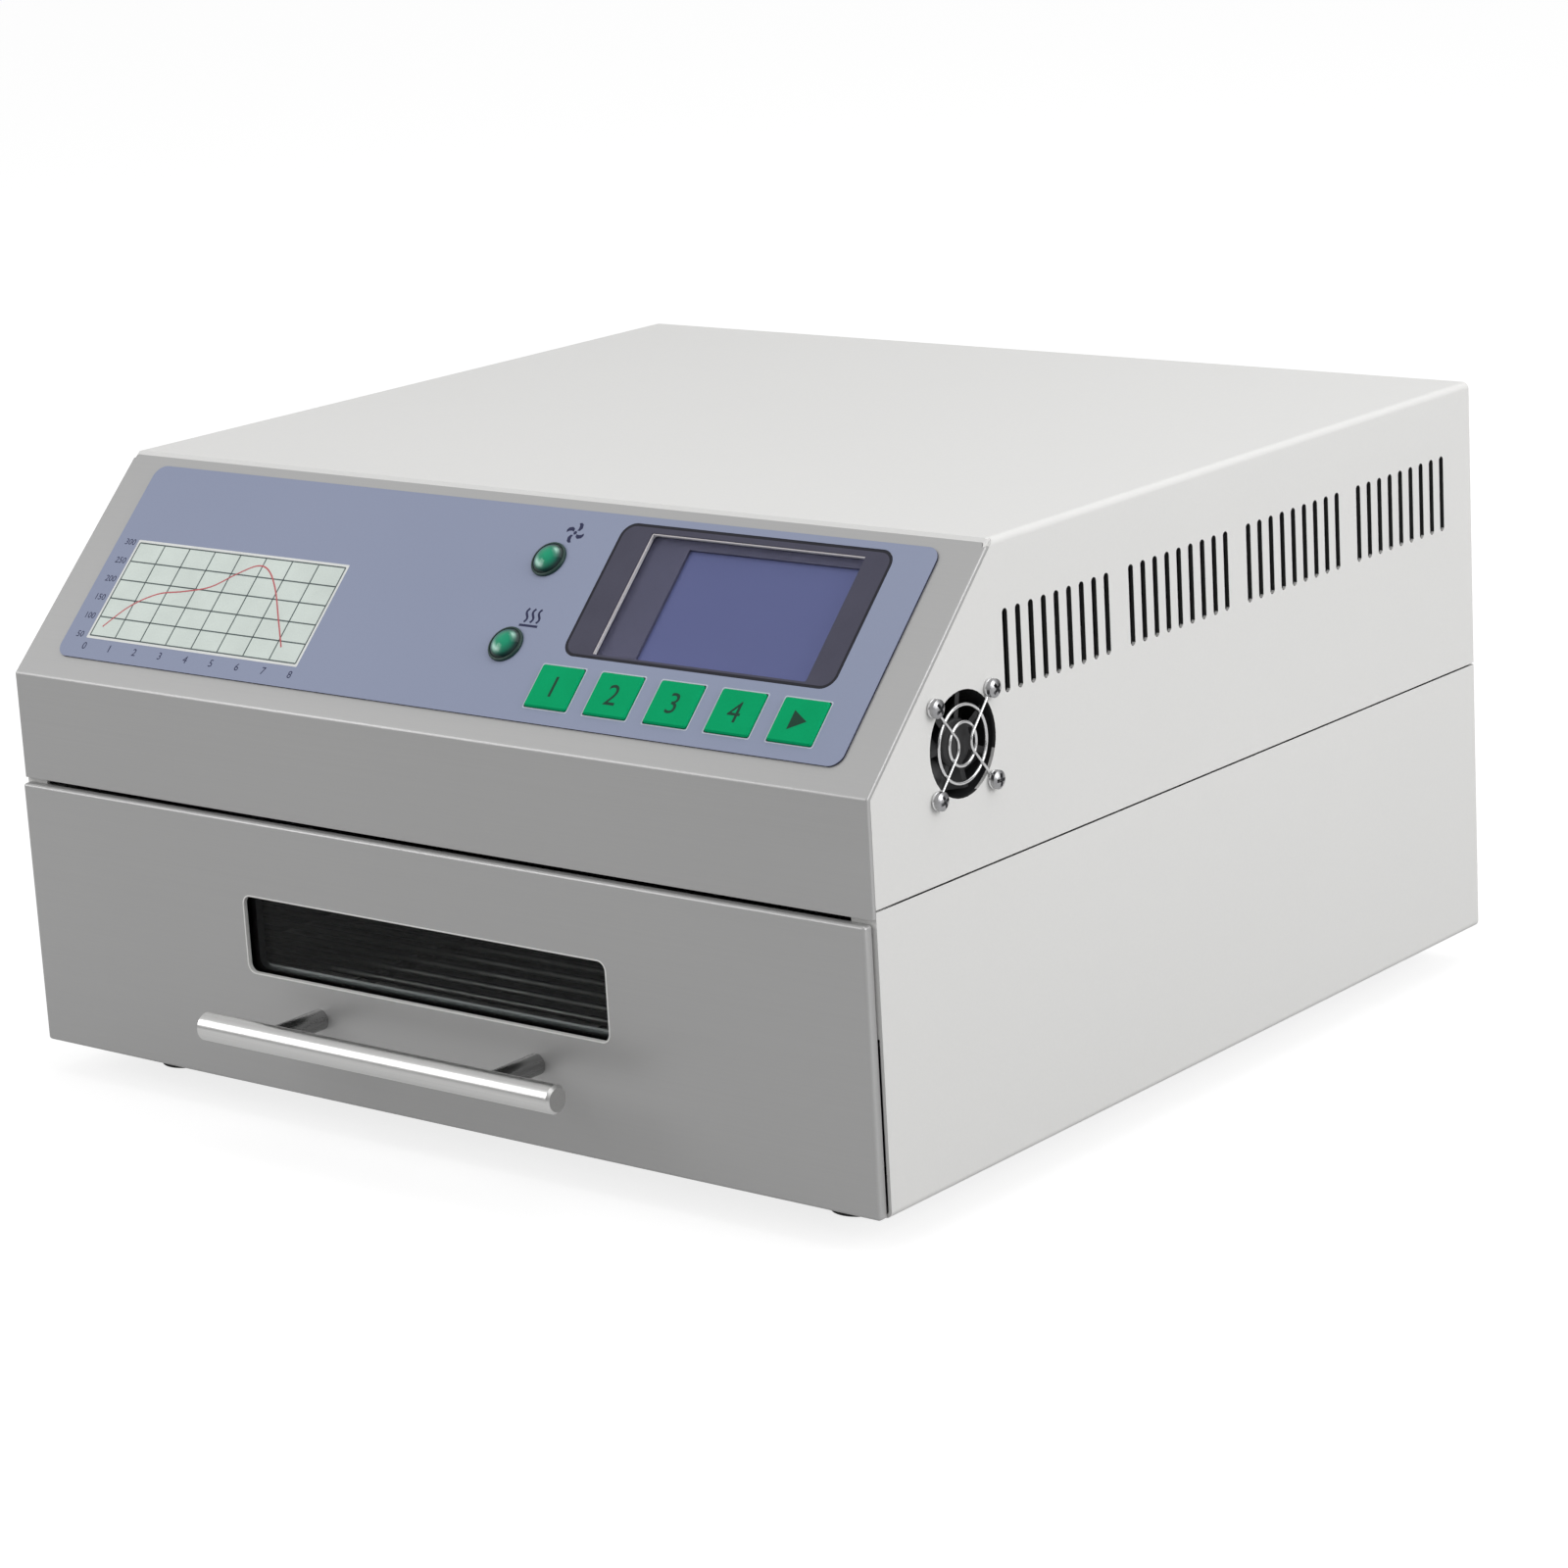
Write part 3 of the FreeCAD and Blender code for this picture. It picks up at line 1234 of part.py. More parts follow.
def blade_section(body, radius, sweep, low, high):
    """A blade's slanted cross-section at a radius, leaning over by sweep to each side."""
    section = sketch_on(body, "YZ", radius)
    bottom, top = "%s + play" % low, "%s - play" % high
    outline(section, [
        ("-(%s)" % sweep, bottom), ("-(%s) + 2 * blade_thickness" % sweep, bottom),
        (sweep, top), ("%s - 2 * blade_thickness" % sweep, top)])
    return section


def fan_screws():
    """Pan-head screws that hold the guard and the cooling fan to the side of the case."""
    body = new_body("cooling_fan_screws")
    low = "-side_fan_pitch / 2"
    seat = "steel + guard_wire"
    side = sketch_on(body, "XZ", low, (low, "0"))
    screw_profile(side, seat, 1, True)
    shank = turn(body, side, "V_Axis")
    mark = sketch_on(body, "XY", seat + " + screw_head_height", (low, low))
    cross(mark)
    recess = pocket(body, mark, "recess")
    repeat(body, [shank, recess], ("X", "2", "side_fan_pitch"), ("Y", "2", "side_fan_pitch"))
    return body


def fan_guard():
    """Wire guard: two bowed wires end in eyes under the screws, two rings are welded behind them."""
    body = new_body("cooling_fan_guard")
    wire = "guard_wire / 2"
    level = "(steel + guard_wire / 2)"
    corner = "side_fan_pitch / 2"
    for side in (1, -1):
        for end in (1, -1):
            eye = sketch_on(body, "XZ", "%d * %s" % (end, corner), ("%d * %s" % (side, corner), "0"))
            circle(eye, ("guard_eye", level), wire)
            turn(body, eye, "V_Axis")
        bow(body, side, level, wire)
    for ring in ("guard_ring_outer", "guard_ring_inner"):
        hoop = sketch_on(body, "XZ")
        circle(hoop, (ring + " / 2", level + " - guard_wire + rack_weld"), wire)
        turn(body, hoop, "V_Axis")
    return body


def bow(body, side, level, wire):
    """A wire from an upper screw in towards the middle and back out to the lower one."""
    path = sketch_on(body, "XY", level)
    corner = "(side_fan_pitch / 2)"
    run = "(%s - guard_bow / 2)" % corner
    span = "sqrt(%s ^ 2 + %s ^ 2)" % (run, corner)
    tight = "(guard_apex * %s / %s)" % (run, corner)
    start_y = "%d * (%s - guard_eye * %s / %s)" % (side, corner, run, span)
    start_x = "(%s - guard_eye * %s / %s)" % (corner, corner, span)
    bend_y = "%d * (guard_bow / 2 + %s * %s / %s)" % (side, tight, run, span)
    bend_x = "(%s * %s / %s)" % (tight, corner, span)
    arms = []
    inwards = ((start_x, start_y), (bend_x, bend_y))
    outwards = (("-" + bend_x, bend_y), ("-" + start_x, start_y))
    for start, end in (inwards, outwards):
        arm = line(path, start, end)
        pin(path, arm, 1, start)
        pin(path, arm, 2, end)
        arms.append(arm)
    centre = Vector(0, number("%d * (guard_bow / 2 + guard_apex * %s / %s)" % (side, span, corner)), 0)
    size(path, "Radius", round_between(path, arms[0], arms[1], centre), "guard_apex")
    section = sketch_on(body, "YZ", start_x, (start_y, level))
    circle(section, ("0", "0"), wire)
    pipe = feature(body, "AdditivePipe", section)
    pipe.Spine = path
    return pipe


def stand_at_side(body):
    put(body, "inner", "front_y + side_fan_y", "foot_height + side_fan_z", Vector(0, 1, 0), "90")
    return body


def stand_at_rear(body):
    put(body, "-rear_fan_x", "rear_y - 2 * steel", "foot_height + rear_fan_z", Vector(1, 0, 0), "-90")
    return body


# Mains parts

def mains_inlet():
    body = new_body("mains_inlet")
    spot = ("inlet_x", "mains")
    front = "plate_y + inlet_flange_thickness"
    flange = sketch_on(body, "XZ", "plate_y", spot)
    wide, tall = "inlet_flange / 2", "inlet_flange_height / 2"
    rectangle(flange, "-" + wide, "-" + tall, wide, tall, "4")
    for side in (1, -1):
        circle(flange, ("%d * inlet_ear_pitch / 2" % side, "0"), "screw / 2 + play / 2")
    pad(body, flange, "inlet_flange_thickness")
    block = sketch_on(body, "XZ", "plate_y", spot)
    rectangle(block, "-inlet_width / 2", "-inlet_height / 2", "inlet_width / 2", "inlet_height / 2", "1")
    pad(body, block, "inlet_depth", -1)
    well = sketch_on(body, "XZ", front, spot)
    wide, tall = "socket_width / 2", "socket_height / 2"
    cut = " - socket_cut"
    outline(well, [
        ("-" + wide, "-" + tall), (wide, "-" + tall), (wide, tall + cut), (wide + cut, tall),
        ("socket_cut - " + wide, tall), ("-" + wide, tall + cut)])
    pocket(body, well, "socket_depth", -1)
    pins = sketch_on(body, "XZ", front + " - socket_depth", spot)
    thick, wide = "pin_thick / 2", "pin_wide / 2"
    for x, z in (("0", "pin_offset"), ("pin_pitch / 2", "-pin_offset"), ("-pin_pitch / 2", "-pin_offset")):
        rectangle(pins, "%s - %s" % (x, thick), "%s - %s" % (z, wide),
                  "%s + %s" % (x, thick), "%s + %s" % (z, wide))
    pad(body, pins, "pin_length")
    return body


def switch_housing():
    body = new_body("switch_housing")
    spot = ("switch_x", "mains")
    wide, tall = "(rocker_wide / 2 + switch_rim)", "(rocker_long / 2 + switch_rim + play)"
    bezel = sketch_on(body, "XZ", "plate_y", spot)
    inset_rectangle(bezel, ("-" + wide, "-" + tall, wide, tall), "-switch_rim", "1")
    pad(body, bezel, "switch_bezel")
    block = sketch_on(body, "XZ", "plate_y", spot)
    rectangle(block, "-" + wide, "-" + tall, wide, tall)
    pad(body, block, "switch_depth", -1)
    well = sketch_on(body, "XZ", "plate_y + switch_bezel", spot)
    wide, tall = "(rocker_wide / 2 + play)", "(rocker_long / 2 + 2 * play)"
    rectangle(well, "-" + wide, "-" + tall, wide, tall)
    pocket(body, well, "switch_bezel + switch_depth - switch_rim", -1)
    return body


def power_rocker():
    """The rocker lies tipped to its off side; it turns about X through the face of the rear panel."""
    body = new_body("power_rocker")
    side = sketch_on(body, "YZ")
    end = "rocker_long / 2"
    lift = "rocker_face + %s * tan(rocker_angle * 1 deg)" % end
    outline(side, [
        ("rocker_face", "0"), (lift, end), ("-rocker_face", end + " - play"), ("-4 * rocker_face", "0"),
        ("-rocker_face", "play - " + end), (lift, "-" + end)])
    pad(body, side, "rocker_wide", both=True)
    pivot = sketch_on(body, "YZ")
    circle(pivot, ("0", "0"), "rocker_face * 0.8")
    pad(body, pivot, "rocker_wide + 2 * play - film_gap", both=True)
    put(body, "switch_x", "plate_y + switch_bezel / 2", "mains", Vector(1, 0, 0), "rocker_angle")
    return body


# Electronics

def power_board():
    body = new_body("power_board")
    level = "shelf_z + hood_steel + power_lift"
    corner = ("power_left - power_wide", "front_y + power_start")
    board = sketch_on(body, "XY", level, corner)
    rectangle(board, "0", "0", "power_wide", "power_long", "1")
    pad(body, board, "board_thickness")
    legs = sketch_on(body, "XY", "shelf_z + hood_steel", corner)
    for x in ("standoff", "power_wide - standoff"):
        for y in ("standoff", "power_long - standoff"):
            circle(legs, (x, y), "standoff / 2")
    pad(body, legs, "power_lift")
    for low, high, parts in ((0, 18, ((20, 30, 6), (36, 30, 6), (70, 84, 5))), (0, 12, ((64, 40, 8),))):
        cans = sketch_on(body, "XY", level + " + board_thickness", corner)
        for x, y, radius in parts:
            circle(cans, (str(x), str(y)), str(radius))
        pad(body, cans, str(high - low))
    blocks = sketch_on(body, "XY", level + " + board_thickness", corner)
    for left, low, right, high in ((10, 60, 38, 76), (12, 92, 62, 104)):
        rectangle(blocks, str(left), str(low), str(right), str(high))
    pad(body, blocks, "10")
    return body


def transformer():
    body = new_body("transformer")
    spot = ("core_x", "front_y + core_y")
    core = sketch_on(body, "XY", "shelf_z + hood_steel", spot)
    rectangle(core, "-core_wide / 2", "-core_long / 4", "core_wide / 2", "core_long / 4")
    pad(body, core, "core_high")
    coil = sketch_on(body, "XY", "shelf_z + hood_steel + core_high / 5", spot)
    rectangle(coil, "-coil_long / 2", "-core_long / 2", "coil_long / 2", "core_long / 2", "3")
    pad(body, coil, "core_high * 3 / 5")
    return body


def triac_heat_sink():
    body = new_body("triac_heat_sink")
    level = "shelf_z + hood_steel"
    count = int(number("sink_fins"))
    wide = "((sink_fins - 1) * sink_pitch + sink_fin)"
    corners = [("0", "0")]
    for index in range(count):
        left = "%d * sink_pitch" % index
        right = left + " + sink_fin"
        corners += [(left, "sink_base"), (left, "sink_high"), (right, "sink_high"), (right, "sink_base")]
    corners.pop(1)
    corners.pop()
    corners += [(wide, "0")]
    comb = sketch_on(body, "XZ", "front_y + sink_y", ("sink_x", level))
    outline(comb, corners)
    pad(body, comb, "sink_long", -1)
    return body


# The whole oven

def build():
    pieces = [
        base_tray(), top_cover(), front_panel(), rear_panel(), rubber_feet(), foot_screws(), rear_screws(),
        control_overlay(), display_window(), lcd_frame(), lcd_screen(), control_board(), board_standoffs(),
        key_switches(), indicator("fan_indicator", "lamp_high"), indicator("heat_indicator", "lamp_low"),
        indicator_bezels(), drawer_front(), window_glass(), glass_clips(), handle_bar(), handle_posts(),
        handle_screws(), drawer_tray(), tray_rack(), oven_hood(), reflector(), heater_caps(), thermocouples(),
        insulation_blanket(), electronics_shelf(), exhaust_duct(),
        stand_at_side(fan_frame("cooling_fan_frame", "side_fan")),
        stand_at_side(fan_rotor("cooling_fan_rotor", "side_fan")),
        stand_at_side(fan_guard()), stand_at_side(fan_screws()),
        stand_at_rear(fan_frame("exhaust_fan_frame", "rear_fan")),
        stand_at_rear(fan_rotor("exhaust_fan_rotor", "rear_fan")),
        mains_inlet(), switch_housing(), power_rocker(), power_board(), transformer(),
        triac_heat_sink()]
    pieces += [key(index) for index in range(int(number("keys")))]
    pieces += [heater_tube(index) for index in range(int(number("tubes")))]
    pieces += slides()
    return pieces


pieces = build()
doc.recompute()
for item in doc.Objects:
    if "Invalid" in item.State or "Error" in item.State:
        raise RuntimeError("%s did not build" % item.Label)
for piece in pieces:
    if piece.Shape.isNull() or not piece.Shape.isValid():
        raise RuntimeError("%s is not a sound solid" % piece.Label)
os.makedirs("parts", exist_ok=True)
for piece in pieces:
    piece.Shape.exportStep("parts/%s.step" % piece.Label)
    print(piece.Label, len(piece.Shape.Solids), round(piece.Shape.Volume, 1))
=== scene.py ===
# %% [markdown]
# # A bench-top reflow oven
# The oven is a folded sheet-metal case with a drawer, a sloping control panel and a small fan in
# its side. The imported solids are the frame: they give every place and every size, so this script
# only dresses them. It gives each solid a finish, rebuilds what needs finer shapes, prints the
# panel, and sets up a plain studio.

# %% Load the frame
import json
import math
import bmesh
import bpy
from mathutils import Matrix, Vector, noise
from mathutils.bvhtree import BVHTree


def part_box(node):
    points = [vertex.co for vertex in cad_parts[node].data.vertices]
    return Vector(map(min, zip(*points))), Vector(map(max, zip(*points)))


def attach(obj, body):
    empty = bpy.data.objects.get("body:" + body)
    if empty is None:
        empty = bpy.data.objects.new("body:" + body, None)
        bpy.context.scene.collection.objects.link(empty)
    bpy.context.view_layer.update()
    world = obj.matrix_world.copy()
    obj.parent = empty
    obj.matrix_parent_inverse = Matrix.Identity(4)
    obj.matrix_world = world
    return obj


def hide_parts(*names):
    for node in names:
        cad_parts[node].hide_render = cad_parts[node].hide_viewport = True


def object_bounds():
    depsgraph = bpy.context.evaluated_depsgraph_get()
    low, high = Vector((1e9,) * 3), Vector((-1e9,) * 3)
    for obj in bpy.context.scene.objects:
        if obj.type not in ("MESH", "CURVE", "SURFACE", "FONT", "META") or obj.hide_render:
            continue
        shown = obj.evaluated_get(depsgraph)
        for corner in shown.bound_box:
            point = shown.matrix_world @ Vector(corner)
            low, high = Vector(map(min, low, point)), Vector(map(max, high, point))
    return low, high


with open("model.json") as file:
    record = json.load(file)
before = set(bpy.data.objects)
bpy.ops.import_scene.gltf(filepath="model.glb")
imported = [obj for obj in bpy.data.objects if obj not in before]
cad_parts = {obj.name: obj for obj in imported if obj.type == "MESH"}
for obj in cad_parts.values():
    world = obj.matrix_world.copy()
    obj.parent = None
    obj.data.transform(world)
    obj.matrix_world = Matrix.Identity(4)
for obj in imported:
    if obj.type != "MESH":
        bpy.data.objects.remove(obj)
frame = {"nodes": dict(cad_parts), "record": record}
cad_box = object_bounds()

MM = 0.001
solids = frame["nodes"]
scene = bpy.context.scene
scene.view_settings.view_transform = "Standard"

# %% [markdown]
# ## The camera
# The oven is seen from its right front corner and from a little above. A long lens from about
# 1.36 m keeps the edges of the case nearly parallel. The place and the turn come from fitting the
# corners of the case, so they are plain numbers here: where the camera stands, where it looks, and
# how far it leans to the side.

# %% Camera
def aimed(place, look):
    """The place and turn of something that looks in a direction."""
    return Matrix.Translation(place) @ look.to_track_quat("-Z", "Y").to_matrix().to_4x4()


CAMERA_PLACE = Vector((0.8368, -0.9948, 0.4136))
CAMERA_LOOK = Vector((-0.61469, 0.74675, -0.25403))
CAMERA_LEAN = math.radians(-3.31)
SENSOR, FOCAL_LENGTH = 36, 105.85
lens = bpy.data.cameras.new("photo_lens")
lens.sensor_width = SENSOR
lens.lens = FOCAL_LENGTH
camera = bpy.data.objects.new("photo_camera", lens)
camera.matrix_world = aimed(CAMERA_PLACE, CAMERA_LOOK) @ Matrix.Rotation(CAMERA_LEAN, 4, "Z")
scene.collection.objects.link(camera)
scene.camera = camera
print("camera", round(CAMERA_PLACE.length, 2), "m from the middle of the floor")

# %% [markdown]
# ## Small helpers for node trees
# A shader or geometry tree is a list of nodes and links. One helper adds a node and fills its
# inputs: with a value, with a link to an output, or with another node, whose first output is then
# linked. That keeps each finish short enough to read as a recipe.

# %% Node helpers
def add(tree, kind, inputs=None, **settings):
    """Add a node, set its own settings, and fill inputs with values or links."""
    node = tree.nodes.new(kind)
    for name, value in settings.items():
        setattr(node, name, value)
    for name, value in (inputs or {}).items():
        if isinstance(value, bpy.types.Node):
            value = value.outputs[0]
        if isinstance(value, bpy.types.NodeSocket):
            tree.links.new(value, node.inputs[name])
        else:
            node.inputs[name].default_value = value
    return node


def srgb(red, green, blue):
    """A colour as it is read off a screen, 0 to 255, made linear."""
    def linear(value):
        value /= 255
        return value / 12.92 if value < 0.04045 else ((value + 0.055) / 1.055) ** 2.4
    return (linear(red), linear(green), linear(blue), 1)


def grey(value):
    return (value, value, value, 1)


def mixed(tree, factor, first, second):
    node = add(tree, "ShaderNodeMix", {0: factor, 6: first, 7: second}, data_type="RGBA")
    return node.outputs[2]


def calc(tree, operation, *values):
    node = add(tree, "ShaderNodeMath", dict(enumerate(values)), operation=operation)
    return node.outputs[0]


def spread(tree, value, low, high, to_low, to_high):
    """Map a range of values to another range."""
    inputs = {"Value": value, "From Min": low, "From Max": high, "To Min": to_low, "To Max": to_high}
    return add(tree, "ShaderNodeMapRange", inputs).outputs[0]


def node_group(kind, name, inputs, outputs):
    """An empty group of nodes with named sockets, and the two ends to link to."""
    tree = bpy.data.node_groups.new(name, kind + "NodeTree")
    for in_out, sockets in (("INPUT", inputs), ("OUTPUT", outputs)):
        for label, socket in sockets:
            tree.interface.new_socket(label, in_out=in_out, socket_type="NodeSocket" + socket)
    return tree, tree.nodes.new("NodeGroupInput").outputs, tree.nodes.new("NodeGroupOutput").inputs

# %% [markdown]
# ## Surface effects that many finishes share
# Powder coat, moulded plastic, rubber and ceramic all have a fine skin with a slow change of tone
# under it. Brushed and rolled metals have streaks in one direction. Each effect is one group of
# shader nodes that gives a colour, a mask and a height, and every finish sets its own values. A
# photograph of real paint would also work, but noise has no seams and no scale of its own.

# %% What both effects share
def effect_group(name, *sizes):
    """A group that takes two tones and some sizes."""
    tones = [("Vector", "Vector"), ("Colour", "Color"), ("Shade", "Color")]
    return node_group("Shader", name, tones + list(sizes),
                      [("Colour", "Color"), ("Mask", "Float"), ("Height", "Float")])


def two_tones(tree, given, made, fine, slow, share, low, high):
    """Mix the tones by a fine and a slow pattern, and lead the results out."""
    tone = calc(tree, "ADD", calc(tree, "MULTIPLY", fine, share),
                calc(tree, "MULTIPLY", slow, 1 - share))
    place = spread(tree, tone, low, high, 0, 1)
    tree.links.new(mixed(tree, place, given["Colour"], given["Shade"]), made["Colour"])
    tree.links.new(tone, made["Mask"])
    tree.links.new(fine.outputs[0], made["Height"])
    print("effect", tree.name, "has", len(tree.nodes), "nodes")

# %% Skin: fine grain over a slow change of tone
skin, given, made = effect_group("skin", ("Grain", "Float"), ("Cloud", "Float"))
fine = add(skin, "ShaderNodeTexNoise",
           {"Vector": given["Vector"], "Scale": given["Grain"], "Detail": 3, "Roughness": 0.55})
slow = add(skin, "ShaderNodeTexNoise",
           {"Vector": given["Vector"], "Scale": given["Cloud"], "Detail": 2})
two_tones(skin, given, made, fine, slow, 0.45, 0.3, 0.7)

# %% Streaks: fine lines in one direction
streaks, given, made = effect_group("streaks", ("Stretch", "Vector"))
drawn = add(streaks, "ShaderNodeVectorMath", {0: given["Vector"], 1: given["Stretch"]},
            operation="MULTIPLY")
line = add(streaks, "ShaderNodeTexNoise",
           {"Vector": drawn, "Scale": 1, "Detail": 4, "Roughness": 0.6})
slow = add(streaks, "ShaderNodeTexNoise", {"Vector": given["Vector"], "Scale": 14, "Detail": 2})
two_tones(streaks, given, made, line, slow, 0.65, 0.32, 0.68)

# %% [markdown]
# ## Two recipes for finishes
# Nearly every finish on the oven is one of two recipes: a skin or a streaked metal. A recipe takes
# two tones, the size of the pattern, a range of roughness and the depth of the bump. Values that
# are the same all over, such as Metallic, go straight on the shader's own sockets.

# %% Recipes
def new_finish(name, constants):
    material = bpy.data.materials.new(name)
    material.use_nodes = True
    shader = material.node_tree.nodes["Principled BSDF"]
    for socket, value in constants.items():
        shader.inputs[socket].default_value = value
    return material, material.node_tree, shader


def object_place(tree):
    return add(tree, "ShaderNodeTexCoord").outputs["Object"]


def wiped(tree, shader, scale, low, high, **settings):
    """Let the roughness wander between two values, as from wiping."""
    inputs = {"Vector": object_place(tree), "Scale": scale, **settings}
    pattern = add(tree, "ShaderNodeTexNoise", inputs)
    tree.links.new(spread(tree, pattern, 0.3, 0.7, low, high), shader.inputs["Roughness"])


def dressed(name, group, inputs, rough, depth, constants):
    """A finish that takes its colour, roughness and bump from a shared effect."""
    material, tree, shader = new_finish(name, constants)
    inputs = {"Vector": object_place(tree), **inputs}
    effect = add(tree, "ShaderNodeGroup", inputs, node_tree=group).outputs
    tree.links.new(effect["Colour"], shader.inputs["Base Color"])
    tree.links.new(spread(tree, effect["Mask"], 0.25, 0.75, *rough), shader.inputs["Roughness"])
    if depth:
        bump = add(tree, "ShaderNodeBump", {"Height": effect["Height"], "Distance": depth})
        tree.links.new(bump.outputs[0], shader.inputs["Normal"])
    return material


def skin_finish(name, colour, shade, grain, cloud, rough, depth, shine=0.5, sheen=0):
    """Paint, plastic, rubber or ceramic; grain and cloud are patterns to the metre."""
    inputs = {"Colour": colour, "Shade": shade, "Grain": grain, "Cloud": cloud}
    constants = {"Specular IOR Level": shine, "Sheen Weight": sheen}
    return dressed(name, skin, inputs, rough, depth, constants)


def metal_finish(name, colour, shade, stretch, rough, depth, **constants):
    """Brushed or rolled metal; stretch is how many streaks to the metre along x, y and z."""
    inputs = {"Colour": colour, "Shade": shade, "Stretch": stretch}
    return dressed(name, streaks, inputs, rough, depth, {"Metallic": 1, **constants})

# %% [markdown]
# ## The finishes
# The case is warm white powder coat with a fine orange peel. The front is satin steel, brushed
# sideways. Inside there is zinc plate, bright aluminium and quartz. The tones are those of the
# real thing under soft light.

# %% Paint, plastic, rubber and ceramic
finishes = {}
finishes["white_steel"] = skin_finish(
    "white_powder_coat", (0.80, 0.797, 0.785, 1), (0.775, 0.772, 0.76, 1), 1500, 9, (0.38, 0.5),
    0.00002, shine=0.35)
finishes["black_rubber"] = skin_finish(
    "black_rubber", grey(0.022), grey(0.04), 1800, 40, (0.7, 0.9), 0.00004)
finishes["black_plastic"] = skin_finish(
    "black_moulded_plastic", (0.014, 0.014, 0.015, 1), (0.026, 0.026, 0.028, 1), 2400, 60,
    (0.38, 0.55), 0.00002)
finishes["green_key"] = skin_finish(
    "green_key_plastic", srgb(0, 170, 109), srgb(0, 162, 102), 1600, 120, (0.5, 0.62), 0.00001,
    shine=0.06)
finishes["white_ceramic"] = skin_finish(
    "fired_ceramic", (0.80, 0.77, 0.70, 1), (0.68, 0.64, 0.56, 1), 2600, 90, (0.55, 0.75), 0.00003)
finishes["red_plastic"] = skin_finish(
    "red_switch_plastic", (0.42, 0.012, 0.012, 1), (0.34, 0.008, 0.010, 1), 2000, 90, (0.22, 0.34),
    0.00001)
finishes["white_fibre"] = skin_finish(
    "felted_fibre", (0.78, 0.76, 0.70, 1), (0.60, 0.57, 0.50, 1), 900, 25, (0.85, 0.98), 0.0004,
    sheen=0.4)
print(len(finishes), "skins")

# %% Metals
finishes["grey_steel"] = metal_finish(
    "satin_brushed_steel", (0.490, 0.489, 0.487, 1), (0.476, 0.475, 0.473, 1), (9, 2400, 2400),
    (0.38, 0.42), 0.0000015, Metallic=0.5)
finishes["zinc_steel"] = metal_finish(
    "zinc_plate", (0.60, 0.61, 0.63, 1), (0.47, 0.48, 0.50, 1), (160, 160, 220), (0.28, 0.46), 0.00001)
finishes["stainless"] = metal_finish(
    "brushed_stainless", (0.74, 0.738, 0.73, 1), (0.64, 0.638, 0.63, 1), (14, 3200, 3200),
    (0.26, 0.34), 0.000004)
finishes["chrome_wire"] = metal_finish(
    "bright_plated_wire", (0.80, 0.80, 0.80, 1), (0.66, 0.66, 0.67, 1), (700, 700, 700), (0.1, 0.24),
    0.000006)
finishes["bright_aluminium"] = metal_finish(
    "bright_aluminium", (0.78, 0.785, 0.79, 1), (0.68, 0.685, 0.69, 1), (2200, 40, 2200), (0.16, 0.3),
    0.00001)
finishes["core_iron"] = metal_finish(
    "varnished_core", (0.10, 0.10, 0.11, 1), (0.05, 0.045, 0.045, 1), (30, 2600, 30), (0.4, 0.6),
    0.00004)
print(len(finishes), "finishes with the metals")

# %% [markdown]
# ## Glass, film and lenses
# Glass keeps plain Metallic and Transmission values, because those have to survive the export.
# What makes it look real is a slight change of roughness, as from wiping, and the tint.

# %% See-through finishes
def clear_finish(name, colour, rough, cloud, **constants):
    values = {"Base Color": colour, "Transmission Weight": 1, "IOR": 1.47, **constants}
    material, tree, shader = new_finish(name, values)
    wiped(tree, shader, cloud, *rough, Detail=4)
    return material


finishes["clear_glass"] = clear_finish(
    "window_pane", (0.50, 0.52, 0.52, 1), (0.0, 0.04), 35, IOR=1.16)
finishes["smoked_film"] = clear_finish(
    "smoked_film", (0.80, 0.79, 0.84, 1), (0.0, 0.002), 20, IOR=1.02)
finishes["milky_quartz"] = clear_finish(
    "milky_quartz", (0.93, 0.93, 0.91, 1), (0.35, 0.55), 90, **{"Transmission Weight": 0.55})
print("clear finishes:", [finishes[slot].name for slot in ("clear_glass", "smoked_film", "milky_quartz")])

# %% Circuit board
board, tree, shader = new_finish("solder_mask", {"Specular IOR Level": 0.5})
tracks = add(tree, "ShaderNodeTexBrick", {
    "Vector": object_place(tree), "Scale": 160, "Mortar Size": 0.08, "Color1": (0.006, 0.12, 0.035, 1),
    "Color2": (0.004, 0.095, 0.028, 1), "Mortar": (0.02, 0.22, 0.07, 1)})
tree.links.new(tracks.outputs[0], shader.inputs["Base Color"])
wiped(tree, shader, 900, 0.28, 0.42)
finishes["board_green"] = board
print("finish", board.name)

# %% [markdown]
# ## The film on the control panel
# The panel is covered by one printed polyester film, blue-grey with a satin face. The cut edge of
# the film gets a dark navy finish, painted shade, which draws the thin line round it. The face and
# the edge are two finishes, so the copy of the solid gets its second finish by the way each face
# points.

# %% Film and screen finishes
finishes["blue_film"] = skin_finish(
    "printed_film", srgb(151, 159, 184), srgb(147, 155, 180), 2600, 14, (0.4, 0.5), 0.000002,
    shine=0.25)
# Painted shade: the dark navy of the film's cut edge stands in for the thin shadow along it.
film_edge_shade = skin_finish("film_edge_painted_shade", srgb(30, 33, 62), srgb(24, 27, 50), 3000, 60, (0.5, 0.6), 0.000003)
finishes["screen_glass"] = skin_finish(
    "dark_lcd_glass", srgb(111, 119, 163), srgb(107, 114, 157), 30, 9, (0.3, 0.36), 0,
    shine=0.15)
finishes["green_lens"] = skin_finish(
    "green_lens", srgb(0, 128, 88), srgb(0, 96, 66), 800, 200, (0.06, 0.16), 0.000004)
slot_names = [entry["slot"] for entry in frame["record"]["materials"]]
print("finishes still missing:", [name for name in slot_names if name not in finishes])

# %% Put a finish on every solid
def coat_solid(node, finish):
    solids[node].material_slots[0].material = finish


for name, solid in solids.items():
    coat_solid(name, finishes[solid.data.materials[0].name.split(".")[0]])
print("finished", len(solids), "solids")
